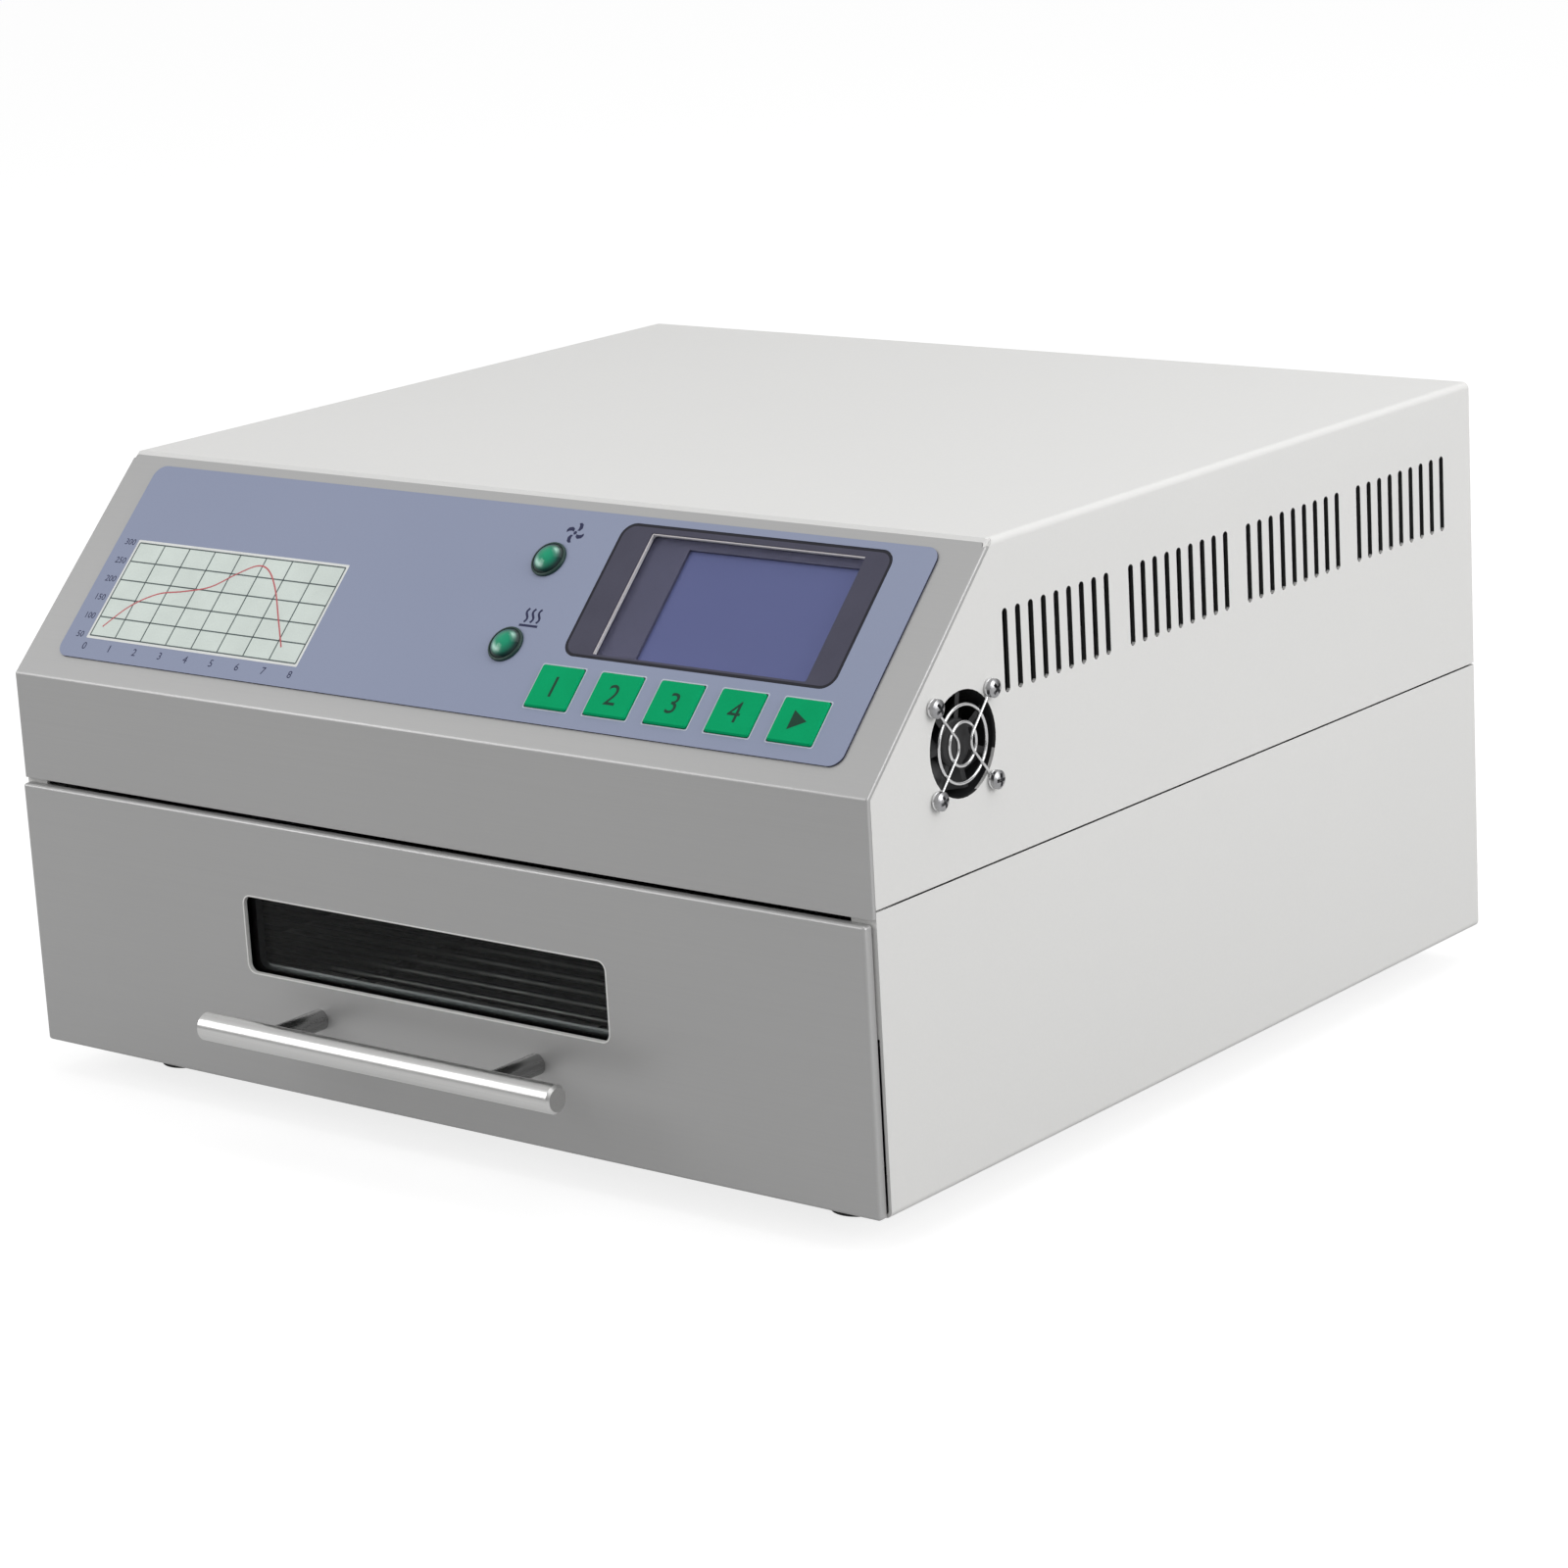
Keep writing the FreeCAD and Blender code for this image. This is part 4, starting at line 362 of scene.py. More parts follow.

# %% [markdown]
# ## Helpers for pieces
# A new piece is a mesh that rides on one body of the frame.
# A CAD mesh is loose triangles, so a copy is merged before anything is done with it. Where part of a
# solid has another finish, such as a cut edge, a test picks its faces. Every later piece goes
# through these helpers.

# %% Piece helpers
def smooth(mesh, angle=30):
    """Smooth shading with sharp edges where faces meet at more than an angle."""
    mesh.shade_smooth()
    mesh.set_sharp_from_angle(angle=math.radians(angle))
    return mesh


def merged_copy(node, join_flat=True):
    """A clean copy of a solid's mesh: points merged and, if wanted, flat faces joined."""
    mesh = solids[node].data.copy()
    if "custom_normal" in mesh.attributes:
        mesh.attributes.remove(mesh.attributes["custom_normal"])
    work = bmesh.new()
    work.from_mesh(mesh)
    bmesh.ops.remove_doubles(work, verts=work.verts, dist=1e-6)
    if join_flat:
        bmesh.ops.dissolve_limit(work, angle_limit=math.radians(0.2), verts=work.verts, edges=work.edges)
    work.to_mesh(mesh)
    work.free()
    return smooth(mesh)


def box_of(spots):
    """Lowest and highest corner of some points."""
    return [Vector([pick(spot[axis] for spot in spots) for axis in range(3)]) for pick in (min, max)]


def second_finish(mesh, coat, wanted):
    """Give the faces that a test picks a second finish."""
    mesh.materials.append(coat)
    for face in mesh.polygons:
        if wanted(face):
            face.material_index = 1
    print(sum(face.material_index for face in mesh.polygons), "faces in", coat.name)
    return mesh


def piece(mesh, name, body="casing", replaces=()):
    """Put a finished mesh in the scene as a piece of the oven."""
    made = bpy.data.objects.new(name, mesh)
    scene.collection.objects.link(made)
    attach(made, body)
    if replaces:
        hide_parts(*replaces)
    print(name, "has", len(mesh.polygons), "faces")
    return made

# %% [markdown]
# ## The plane of the control panel
# Everything on the panel lies on a slope. It is drawn in millimetres in the panel's own plane: x to
# the right, y up the slope, z out of it. One matrix then takes it to its place. The matrix is found
# from the film's own box, so the print can't drift from the panel.

# %% Panel plane
FILM_LOW, FILM_HIGH, FILM_TOP = 7, 73, 0.5
film_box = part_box("control_overlay")
SLOPE_UP = Vector((0, 56, 55.5)).normalized()
SLOPE_OUT = Vector((0, -SLOPE_UP.z, SLOPE_UP.y))
slope_foot = Vector((
    0, film_box[1].y - FILM_HIGH * MM * SLOPE_UP.y, film_box[0].z - FILM_LOW * MM * SLOPE_UP.z))
panel_plane = Matrix((
    (1, 0, 0, 0),
    (0, SLOPE_UP.y, SLOPE_OUT.y, slope_foot.y),
    (0, SLOPE_UP.z, SLOPE_OUT.z, slope_foot.z),
    (0, 0, 0, 1))) @ Matrix.Scale(MM, 4)


def on_panel(node, above=-1000):
    """Lowest and highest corner, in the panel's plane, of a solid or of what stands above a level."""
    back = panel_plane.inverted()
    spots = [back @ vertex.co for vertex in solids[node].data.vertices]
    return box_of([spot for spot in spots if spot.z > above])


film_low, film_high = on_panel("control_overlay")
print("film on the panel", [round(value, 2) for value in (*film_low, *film_high)])

# %% Outlines in the panel plane
def rounded(left, low, right, high, radius, steps=6):
    """Points of a rectangle with round corners, anticlockwise."""
    points = []
    for x, y, start in ((right - radius, low + radius, -90), (right - radius, high - radius, 0),
                        (left + radius, high - radius, 90), (left + radius, low + radius, 180)):
        for step in range(steps + 1):
            angle = math.radians(start + 90 * step / steps)
            points.append((x + radius * math.cos(angle), y + radius * math.sin(angle)))
    return points


def disc(x, y, radius, steps=24):
    turns = [2 * math.pi * step / steps for step in range(steps)]
    return [(x + radius * math.cos(turn), y + radius * math.sin(turn)) for turn in turns]


def ribbon(points, width):
    """The outline of a line of some width through points."""
    sides = ([], [])
    for index, (x, y) in enumerate(points):
        before, after = points[max(index - 1, 0)], points[min(index + 1, len(points) - 1)]
        along = Vector((after[0] - before[0], after[1] - before[1])).normalized()
        for side, sign in zip(sides, (-1, 1)):
            side.append((x - sign * along.y * width / 2, y + sign * along.x * width / 2))
    return sides[0] + sides[1][::-1]

# %% Flat shapes from outlines
def wall(work, ring, following):
    """Faces between two closed rings of as many points."""
    return [work.faces.new((ring[index - 1], ring[index], following[index], following[index - 1]))
            for index in range(len(ring))]


def slab(work, outline, low, high, finish=0):
    """A flat plate between two levels with a closed outline."""
    bottom, top = ([work.verts.new((x, y, level)) for x, y in outline] for level in (low, high))
    for face in [work.faces.new(top), work.faces.new(bottom[::-1]), *wall(work, bottom, top)]:
        face.material_index = finish


def band(work, outer, inner, low, high, finish=0):
    """A flat ring between two outlines of as many points."""
    rings = [[work.verts.new((x, y, level)) for x, y in outline]
             for outline, level in ((outer, low), (outer, high), (inner, high), (inner, low))]
    for ring, following in zip(rings, rings[1:] + rings[:1]):
        for face in wall(work, ring, following):
            face.material_index = finish


def panel_mesh(work, name, *coats, plane=panel_plane):
    """Make a drawing in a plane a mesh with finishes and take it to its place."""
    mesh = bpy.data.meshes.new(name)
    bmesh.ops.recalc_face_normals(work, faces=work.faces)
    work.to_mesh(mesh)
    work.free()
    mesh.transform(plane)
    for coat in coats:
        mesh.materials.append(coat)
    return mesh

# %% [markdown]
# ## The printed film and its cut edge
# The film's outline is right as it is, so a copy of the solid stays and only its side walls get the
# dark finish of painted shade. A face is a side wall if it faces neither out of the slope nor into it.

# %% Film with painted shade on its edge
SIDEWAYS = 0.5


def is_wall(face):
    """Whether a face of the panel is a cut edge."""
    return abs(face.normal.dot(SLOPE_OUT)) < SIDEWAYS


film = second_finish(merged_copy("control_overlay"), film_edge_shade, is_wall)
piece(film, "printed_overlay", replaces=["control_overlay"])

# %% [markdown]
# ## The display
# Behind a smoked film lies the display in its metal can. A dark print round the film's edge hides
# the edge of the steel. Two flat rings make that print, and the clear middle stays a plain film, so
# the cut edge of the steel, near-white with a painted highlight, and the can still show through it,
# as they do on the real panel.
# Light that falls on the display passes the film unhindered. Otherwise it could only get there by
# chance through the film, and the display would look grainy.

# %% Inks
def ink(name, red, green, blue):
    """Screen-printed ink: an even tone with a fine grain and a dull shine."""
    tone = srgb(red, green, blue)
    deeper = tuple(value * 0.86 for value in tone[:3]) + (1,)
    print("ink", name)
    return skin_finish(name, tone, deeper, 2600, 90, (0.45, 0.6), 0.000002, shine=0.25)


border_ink = ink("dark_border_ink", 76, 75, 92)
outline_ink = ink("black_outline_ink", 34, 34, 44)
navy_ink = ink("navy_ink", 44, 47, 82)
white_ink = ink("white_ink", 238, 240, 238)
field_ink = ink("pale_field_ink", 226, 236, 230)
grid_ink = ink("grid_ink", 92, 104, 104)
red_ink = ink("red_ink", 204, 108, 112)
legend_ink = ink("dark_legend_ink", 8, 62, 44)

# %% Smoked film with its dark border
CUT_EDGES, CUT_CORNER = (48.6, 29.8, 120.4, 68.3), 0.6
LINE, OUTER_CORNER, INNER_CORNER = 0.8, 4.4, 3.6
low, high = on_panel("display_window")
work = bmesh.new()
outer = rounded(low.x, low.y, high.x, high.y, OUTER_CORNER)
middle = rounded(low.x + LINE, low.y + LINE, high.x - LINE, high.y - LINE, INNER_CORNER)
inner = rounded(*CUT_EDGES, CUT_CORNER)
band(work, outer, middle, 0, FILM_TOP, 1)
band(work, middle, inner, 0.02, FILM_TOP, 0)
slab(work, inner, 0.1, FILM_TOP - 0.1, 2)
display = piece(panel_mesh(work, "display_film", border_ink, outline_ink, finishes["smoked_film"]),
                "display_film", replaces=["display_window"])
display.visible_shadow = False
display.visible_diffuse = False

# %% Painted highlight on the cut-out's edge, seen through the film on the left and at the top
HIGHLIGHT_LEFT, HIGHLIGHT_TOP, HIGHLIGHT_LEVELS = 0.5, 0.35, (0.02, 0.08)
left, low, right, high = CUT_EDGES
inset, under = left + HIGHLIGHT_LEFT, high - HIGHLIGHT_TOP
corner_shape = [(left, low), (inset, low), (inset, under), (right, under), (right, high), (left, high)]
work = bmesh.new()
slab(work, corner_shape, *HIGHLIGHT_LEVELS)
# Painted highlight: a flat pale strip on the lit left and top sides of the cut-out only.
piece(panel_mesh(work, "cut_out_highlight", ink("painted_highlight_ink", 222, 218, 214)), "cut_out_highlight")

# %% Cut edge of the steel under the film, near-white with a painted highlight
# Painted highlight: bare steel made near-white and mostly diffuse, so every cut edge with this finish shows as
# a bright line.
cut_steel_highlight = metal_finish(
    "cut_edge_painted_highlight", (0.92, 0.92, 0.90, 1), (0.84, 0.84, 0.82, 1), (900, 900, 900), (0.4, 0.55), 0.000004,
    Metallic=0.2)
back = panel_plane.inverted()


def at_display(face):
    """Whether a face is a wall of the display's cut-out."""
    spot = back @ face.center
    level = CUT_EDGES[0] - 1 < spot.x < CUT_EDGES[2] + 1
    return level and CUT_EDGES[1] - 1 < spot.y < CUT_EDGES[3] + 1 and is_wall(face)


steel = second_finish(merged_copy("front_panel"), cut_steel_highlight, at_display)
piece(steel, "folded_front", replaces=["front_panel"])

# %% Cut edge round the drawer's window, near-white with a painted highlight
pane_low, pane_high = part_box("glass_clips")


def at_window(face):
    """Whether a face is a wall of the drawer's window."""
    spot = face.center
    inside = pane_low.x < spot.x < pane_high.x and pane_low.z < spot.z < pane_high.z
    return inside and abs(face.normal.y) < SIDEWAYS


drawer = second_finish(merged_copy("drawer_front"), cut_steel_highlight, at_window)
piece(drawer, "drawer_face", "drawer", replaces=["drawer_front"])

# %% Painted highlight round the edge of the window
def front_plane(y):
    """The plane that faces forwards at a depth: x to the right, y up, z out."""
    return Matrix.Scale(MM, 4) @ Matrix(((1, 0, 0, 0), (0, 0, -1, y), (0, 1, 0, 0), (0, 0, 0, 1)))


WINDOW, CORNER, RING_WIDE, RING_RISE = (-66.5, 43.7, 66.5, 65.8), 2.5, 0.45, 0.03
left, low, right, high = WINDOW
work = bmesh.new()
# A flat near-white ring round the opening: the painted highlight of the window's edge.
band(work, rounded(left - RING_WIDE, low - RING_WIDE, right + RING_WIDE, high + RING_WIDE, CORNER + RING_WIDE),
     rounded(*WINDOW, CORNER), 0, RING_RISE)
window_edge = panel_mesh(work, "window_edge_highlight", cut_steel_highlight, plane=front_plane(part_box("drawer_front")[0].y / MM))
piece(window_edge, "window_edge_highlight", "drawer")

# %% Lip behind the pane
LIP_LOW, LIP_BEAD, LIP_HIGH, LIP_BACK = 36.0, 43.7, 44.3, -129.0
LIP_SLIT, LIP_THICK = 0.02, 0.3
work = bmesh.new()
slab(work, rounded(left, LIP_LOW, right, LIP_BEAD - LIP_SLIT, 0.1, 1), 0, LIP_THICK, 0)
# Painted highlight: the strip along the bottom of the window has the near-white cut-edge finish.
slab(work, rounded(left, LIP_BEAD, right, LIP_HIGH, 0.1, 1), 0, LIP_THICK, 1)
lip = panel_mesh(work, "pane_lip", finishes["black_rubber"], cut_steel_highlight, plane=front_plane(LIP_BACK))
piece(lip, "pane_lip", "drawer")

# %% [markdown]
# ## Painted shade on the cut edges of the case
# Sheet metal is punched first and coated after. The walls of narrow slots and the seam get little
# light, so copies of the cover and the tray get painted shade, a near-black finish, on the edges of
# their side sheets: in the louvres, round the fan and along the seam.

# %% Painted shade on the edges
EDGE, FOLD = 1.05 * MM, 5 * MM
# Painted shade: near-black for the slot walls and the seam, which stay in shade.
painted_shade_edge = skin_finish("painted_shade_edge", grey(0.03), grey(0.045), 900, 60, (0.6, 0.8), 0)


def dark_edges(node, name, wanted):
    """A copy of a case part with painted shade, a near-black finish, on the wanted edges of its side sheets."""
    low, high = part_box(node)

    def is_edge(face):
        in_sheet = abs(face.center.x) > high.x - EDGE and abs(face.normal.x) < 0.2
        inner = low.y + FOLD < face.center.y < high.y - FOLD and face.center.z < high.z - FOLD
        return in_sheet and inner and wanted(face.normal)

    piece(second_finish(merged_copy(node, False), painted_shade_edge, is_edge), name, replaces=[node])


dark_edges("top_cover", "louvred_cover", lambda normal: not (normal.y < -0.3 and normal.z > 0.3))
dark_edges("base_tray", "folded_tray", lambda normal: normal.z > 0.9)

# %% [markdown]
# ## Indicator lenses
# Each lamp is a green dome with a darker rim. The dome's tone depends on how far a point lies from
# the lamp's own axis: the green is the lens's own tint, and its darkening towards the rim is painted
# shade. A painted highlight lies on it too: a pale crescent low on the left and a small spot high on
# the right. Both are worked out point by point and stored on the mesh as attributes. The finish reads
# them, so both lamps share it wherever they stand.

# %% Lens finish from the two attributes
def ramp(tree, factor, *stops):
    """Colours at places along a factor."""
    node = add(tree, "ShaderNodeValToRGB", {"Fac": factor})
    scale = node.color_ramp.elements
    while len(scale) < len(stops):
        scale.new(0.5)
    for element, (place, colour) in zip(scale, stops):
        element.position = place
        element.color = colour
    return node.outputs[0]


lens_finish, tree, shader = new_finish(
    "domed_green_lens", {"Coat Weight": 0.3, "Coat Roughness": 0.03, "Specular IOR Level": 0.2})
reach, painted_glint = (add(tree, "ShaderNodeAttribute", attribute_name=name).outputs["Fac"]
                for name in ("reach", "painted_glint"))
# Painted shade: the green darkens from the axis to the rim. Painted highlight: a pale green mixed in by the
# second attribute.
body_tone = ramp(tree, reach, (0.0, srgb(14, 158, 116)), (0.45, srgb(6, 146, 108)), (0.72, srgb(0, 108, 84)),
                 (0.88, srgb(0, 52, 46)), (1.0, srgb(0, 26, 28)))
tree.links.new(mixed(tree, painted_glint, body_tone, srgb(206, 255, 238)), shader.inputs["Base Color"])
wiped(tree, shader, 900, 0.08, 0.14)
rim_finish = skin_finish(
    "dark_green_rim", srgb(8, 58, 48), srgb(4, 42, 36), 1600, 120, (0.3, 0.42), 0.000004)
print("finishes", lens_finish.name, "and", rim_finish.name)

# %% Lenses
DOME, RINGS, SPOKES = 1.8, 9, 40
# Painted highlights, one a row: where it lies in degrees, how wide, at what reach, how deep and how strong.
PAINTED_GLINTS = ((232, 36, 0.62, 0.16, 1.0), (48, 20, 0.74, 0.09, 0.7))


def glint_at(turn, share):
    """How much painted highlight a place gets: a crescent low on the left, a spot high on the right."""
    total = 0
    for middle, wide, ring, deep, strength in PAINTED_GLINTS:
        off = (math.degrees(turn) - middle + 180) % 360 - 180
        total += strength * math.exp(-(off / wide) ** 2 - ((share - ring) / deep) ** 2)
    return min(total, 1)


def lens_mesh(node):
    """A round lens with a dome that is part of a ball."""
    low, high = on_panel(node)
    x, y, radius = (low.x + high.x) / 2, (low.y + high.y) / 2, (high.x - low.x) / 2
    ball = (radius ** 2 + DOME ** 2) / (2 * DOME)
    widest = math.asin(radius / ball)
    levels = [(1.0, low.z)]
    for ring in range(RINGS):
        lean = widest * (1 - ring / RINGS)
        levels.append((ball * math.sin(lean) / radius, high.z - ball * (1 - math.cos(lean))))
    work = bmesh.new()
    reach, painted_glint = (work.verts.layers.float.new(name) for name in ("reach", "painted_glint"))
    rings = []
    for share, level in levels:
        rings.append([])
        for spoke in range(SPOKES):
            turn = 2 * math.pi * spoke / SPOKES
            out = share * radius
            vertex = work.verts.new((x + out * math.cos(turn), y + out * math.sin(turn), level))
            vertex[reach], vertex[painted_glint] = share, glint_at(turn, share)
            rings[-1].append(vertex)
    for ring, following in zip(rings, rings[1:]):
        wall(work, ring, following)
    crown = work.verts.new((x, y, high.z))
    for spoke in range(SPOKES):
        work.faces.new((rings[-1][spoke - 1], rings[-1][spoke], crown))
    work.faces.new(rings[0][::-1])
    return smooth(panel_mesh(work, node + "_lens", lens_finish), 40)


for node in ("fan_indicator", "heat_indicator"):
    piece(lens_mesh(node), node + "_lens", replaces=[node])
coat_solid("indicator_bezels", rim_finish)

# %% Finishes of single solids
# Painted shade: the posts are darker than the bar, standing in for the dark surroundings they reflect.
coat_solid("handle_posts", metal_finish(
    "turned_post", grey(0.36), grey(0.26), (900, 60, 900), (0.22, 0.34), 0.000004))
# Painted shade: the rods are dark so they show only faintly through the window, as the oven inside is dim.
coat_solid("tray_rack", metal_finish(
    "rack_rod_painted_shade", (0.34, 0.33, 0.32, 1), (0.16, 0.15, 0.145, 1), (30, 400, 400), (0.3, 0.5), 0.00001))
coat_solid("lcd_frame", skin_finish(
    "dull_screen_can", srgb(82, 83, 105), srgb(77, 78, 98), 50, 12, (0.45, 0.6), 0))
print("own finishes on the handle's posts, the rack and the screen's can")

# %% [markdown]
# ## Geometry Nodes
# What repeats is grown by Geometry Nodes: a tree has named inputs for its sizes, so the same tree
# makes another row of screws or another grid. The grown result is turned into a plain mesh, because
# only plain meshes are exported.

# %% Tree helpers
def geometry_tree(name, *sockets):
    """An empty geometry tree with named inputs."""
    ends = [("Geometry", "Geometry")]
    return node_group("Geometry", name, ends + list(sockets), ends)


def end_tree(tree, geometry, coat, made):
    """Every tree ends in plain geometry with one finish."""
    plain = add(tree, "GeometryNodeRealizeInstances", {"Geometry": geometry})
    coated = add(tree, "GeometryNodeSetMaterial", {"Geometry": plain, "Material": coat})
    tree.links.new(coated.outputs[0], made["Geometry"])
    print("tree", tree.name, "has", len(tree.nodes), "nodes")


def box_size(tree, *sides):
    return add(tree, "ShaderNodeCombineXYZ", dict(enumerate(sides))).outputs[0]


def moved(tree, geometry, *shift):
    inputs = {"Geometry": geometry, "Translation": box_size(tree, *shift)}
    return add(tree, "GeometryNodeTransform", inputs).outputs[0]


def together(tree, *parts):
    node = tree.nodes.new("GeometryNodeJoinGeometry")
    for part in parts:
        tree.links.new(part, node.inputs[0])
    return node.outputs[0]


def grown(name, tree, values, spots=()):
    """Grow a tree from points, in metres, and return a plain mesh."""
    seed_mesh = bpy.data.meshes.new(name + "_points")
    seed_mesh.from_pydata([tuple(spot) for spot in spots], [], [])
    holder = bpy.data.objects.new(name + "_points", seed_mesh)
    scene.collection.objects.link(holder)
    modifier = holder.modifiers.new("grow", "NODES")
    modifier.node_group = tree
    for socket in tree.interface.items_tree:
        if socket.in_out == "INPUT" and socket.name in values:
            modifier[socket.identifier] = values[socket.name]
    graph = bpy.context.evaluated_depsgraph_get()
    mesh = bpy.data.meshes.new_from_object(holder.evaluated_get(graph))
    holder.modifiers.remove(modifier)
    bpy.data.objects.remove(holder)
    mesh.name = name
    return mesh

# %% [markdown]
# ## The printed graph
# Left on the panel is a pale field with a grid and a thin red line: temperature against time. The
# grid repeats, so it is grown: thin bars on two lines of points. The red line is this model's own
# plain profile: up, a pause, a peak and down. Only plain figures stand beside it.

# %% Grid tree
grid, given, made = geometry_tree(
    "ruled_grid", ("Columns", "Int"), ("Rows", "Int"), ("Width", "Float"), ("Height", "Float"),
    ("Line", "Float"), ("Thick", "Float"), ("Coat", "Material"))


def bars(tree, count, run, bar, across):
    """Bars on a line of points; across is 0 for upright bars and 1 for level ones."""
    step = calc(tree, "DIVIDE", run, count)
    offset = add(tree, "ShaderNodeCombineXYZ", {across: step})
    points = add(tree, "GeometryNodeMeshLine", {
        "Count": calc(tree, "ADD", count, 1), "Offset": offset})
    cube = add(tree, "GeometryNodeMeshCube", {"Size": bar})
    return add(tree, "GeometryNodeInstanceOnPoints", {
        "Points": points, "Instance": cube}).outputs[0]


tall_bar = box_size(grid, given["Line"], given["Height"], given["Thick"])
wide_bar = box_size(grid, given["Width"], given["Line"], given["Thick"])
upright = bars(grid, given["Columns"], given["Width"], tall_bar, 0)
level = bars(grid, given["Rows"], given["Height"], wide_bar, 1)
upright = moved(grid, upright, 0, calc(grid, "MULTIPLY", given["Height"], 0.5), 0)
level = moved(grid, level, calc(grid, "MULTIPLY", given["Width"], 0.5), 0, 0)
end_tree(grid, together(grid, upright, level), given["Coat"], made)

# %% Field
GRAPH_LEFT, GRAPH_LOW, GRAPH_RIGHT, GRAPH_HIGH = -134.0, 13.7, -50.0, 47.5
COLUMNS, ROWS = 8, 5
FRAME_WIDE, INK = 1.0, 0.02
GRID_LINE, PROFILE_LINE = 0.42, 0.45
FIELD_LEFT, FIELD_LOW = GRAPH_LEFT + FRAME_WIDE, GRAPH_LOW + FRAME_WIDE
work = bmesh.new()
outer = rounded(GRAPH_LEFT, GRAPH_LOW, GRAPH_RIGHT, GRAPH_HIGH, 0.3, 2)
inner = rounded(FIELD_LEFT, FIELD_LOW, GRAPH_RIGHT - FRAME_WIDE, GRAPH_HIGH - FRAME_WIDE, 0.2, 2)
band(work, outer, inner, FILM_TOP, FILM_TOP + INK, 0)
slab(work, inner, FILM_TOP, FILM_TOP + INK, 1)
piece(panel_mesh(work, "graph_field", white_ink, field_ink), "graph_field")

# %% Grid
wide, tall = GRAPH_RIGHT - GRAPH_LEFT - 2 * FRAME_WIDE, GRAPH_HIGH - GRAPH_LOW - 2 * FRAME_WIDE
lines = grown("graph_grid", grid, {
    "Columns": COLUMNS, "Rows": ROWS, "Width": wide, "Height": tall, "Line": GRID_LINE, "Thick": INK,
    "Coat": grid_ink})
lines.transform(panel_plane @ Matrix.Translation((FIELD_LEFT, FIELD_LOW, FILM_TOP + 1.5 * INK)))
piece(lines, "graph_grid")

# %% Profile
PROFILE = ((0.3, 0.5), (0.9, 1.7), (1.7, 2.5), (2.6, 2.8), (3.5, 3.2), (4.2, 4.0), (4.8, 4.55), (5.3, 4.4),
           (5.9, 3.5), (6.6, 2.0), (7.2, 0.7))


def smooth_line(points, steps=5):
    """Points on a smooth line through points."""
    spots = [points[0], *points, points[-1]]
    line = []
    for index in range(len(points) - 1):
        corners = [Vector(spot) for spot in spots[index:index + 4]]
        for step in range(steps):
            t = step / steps
            weights = (-t + 2 * t**2 - t**3, 2 - 5 * t**2 + 3 * t**3, t + 4 * t**2 - 3 * t**3, t**3 - t**2)
            line.append(tuple(sum((w * c for w, c in zip(weights, corners)), Vector((0, 0))) / 2))
    return line + [points[-1]]


work = bmesh.new()
curve = [(FIELD_LEFT + x * wide / COLUMNS, FIELD_LOW + y * tall / ROWS) for x, y in smooth_line(PROFILE)]
slab(work, ribbon(curve, PROFILE_LINE), FILM_TOP + INK, FILM_TOP + 3 * INK)
piece(panel_mesh(work, "graph_profile", red_ink), "graph_profile")

# %% [markdown]
# ## Figures and signs
# Plain figures are text turned into a mesh and laid on the film. Simple signs stand by the lamps: a
# little fan and three waves of heat. A sign is flat outlines made with the same slab helper.

# %% Figures
def figures(text, height, thick):
    """Text as a flat mesh, centred, in millimetres."""
    words = bpy.data.curves.new("figures", "FONT")
    words.body = text
    words.align_x, words.align_y = "CENTER", "CENTER"
    words.extrude = 0.05
    words.resolution_u = 3
    holder = bpy.data.objects.new("figures", words)
    mesh = bpy.data.meshes.new_from_object(holder)
    bpy.data.objects.remove(holder)
    low, high = box_of([vertex.co for vertex in mesh.vertices])
    grow = height / (high.y - low.y)
    mesh.transform(Matrix.Diagonal((grow, grow, thick / (high.z - low.z), 1))
                   @ Matrix.Translation(-(low + high) / 2))
    return mesh


def laid(parts, name, coat):
    """Join flat meshes at places in the panel plane: (mesh, x, y, level of its underside)."""
    work = bmesh.new()
    for mesh, x, y, level in parts:
        thick = max(vertex.co.z for vertex in mesh.vertices)
        mesh.transform(Matrix.Translation((x, y, level + thick)))
        work.from_mesh(mesh)
        bpy.data.meshes.remove(mesh)
    bmesh.ops.remove_doubles(work, verts=work.verts, dist=1e-4)
    return panel_mesh(work, name, coat)


COLUMN_FIGURE, COLUMN_DOWN, ROW_FIGURE, ROW_LEFT, ROW_STEP = 2.3, 2.6, 2.0, 3.0, 50
cell, marks = wide / COLUMNS, []
for column in range(COLUMNS + 1):
    figure = figures(str(column), COLUMN_FIGURE, INK)
    marks.append((figure, FIELD_LEFT + column * cell, GRAPH_LOW - COLUMN_DOWN, FILM_TOP))
for row in range(ROWS + 1):
    figure = figures(str(ROW_STEP * (row + 1)), ROW_FIGURE, INK)
    marks.append((figure, GRAPH_LEFT - ROW_LEFT, FIELD_LOW + row * tall / ROWS, FILM_TOP))
piece(laid(marks, "graph_figures", navy_ink), "graph_figures")

# %% Signs by the lamps
def fan_sign(work, x, y, size):
    """Four swept blades round a hub."""
    slab(work, disc(x, y, 0.16 * size), FILM_TOP, FILM_TOP + INK)
    blade = [(0.10, 0.20), (0.34, 0.20), (0.50, 0.44), (0.42, 0.78), (0.20, 0.92), (-0.02, 0.86),
             (0.12, 0.66), (0.16, 0.42)]
    for quarter in range(4):
        turn = Matrix.Rotation(quarter * math.pi / 2, 2)
        spots = [turn @ Vector(spot) * size for spot in blade]
        slab(work, [(x + spot.x, y + spot.y) for spot in spots], FILM_TOP, FILM_TOP + INK)


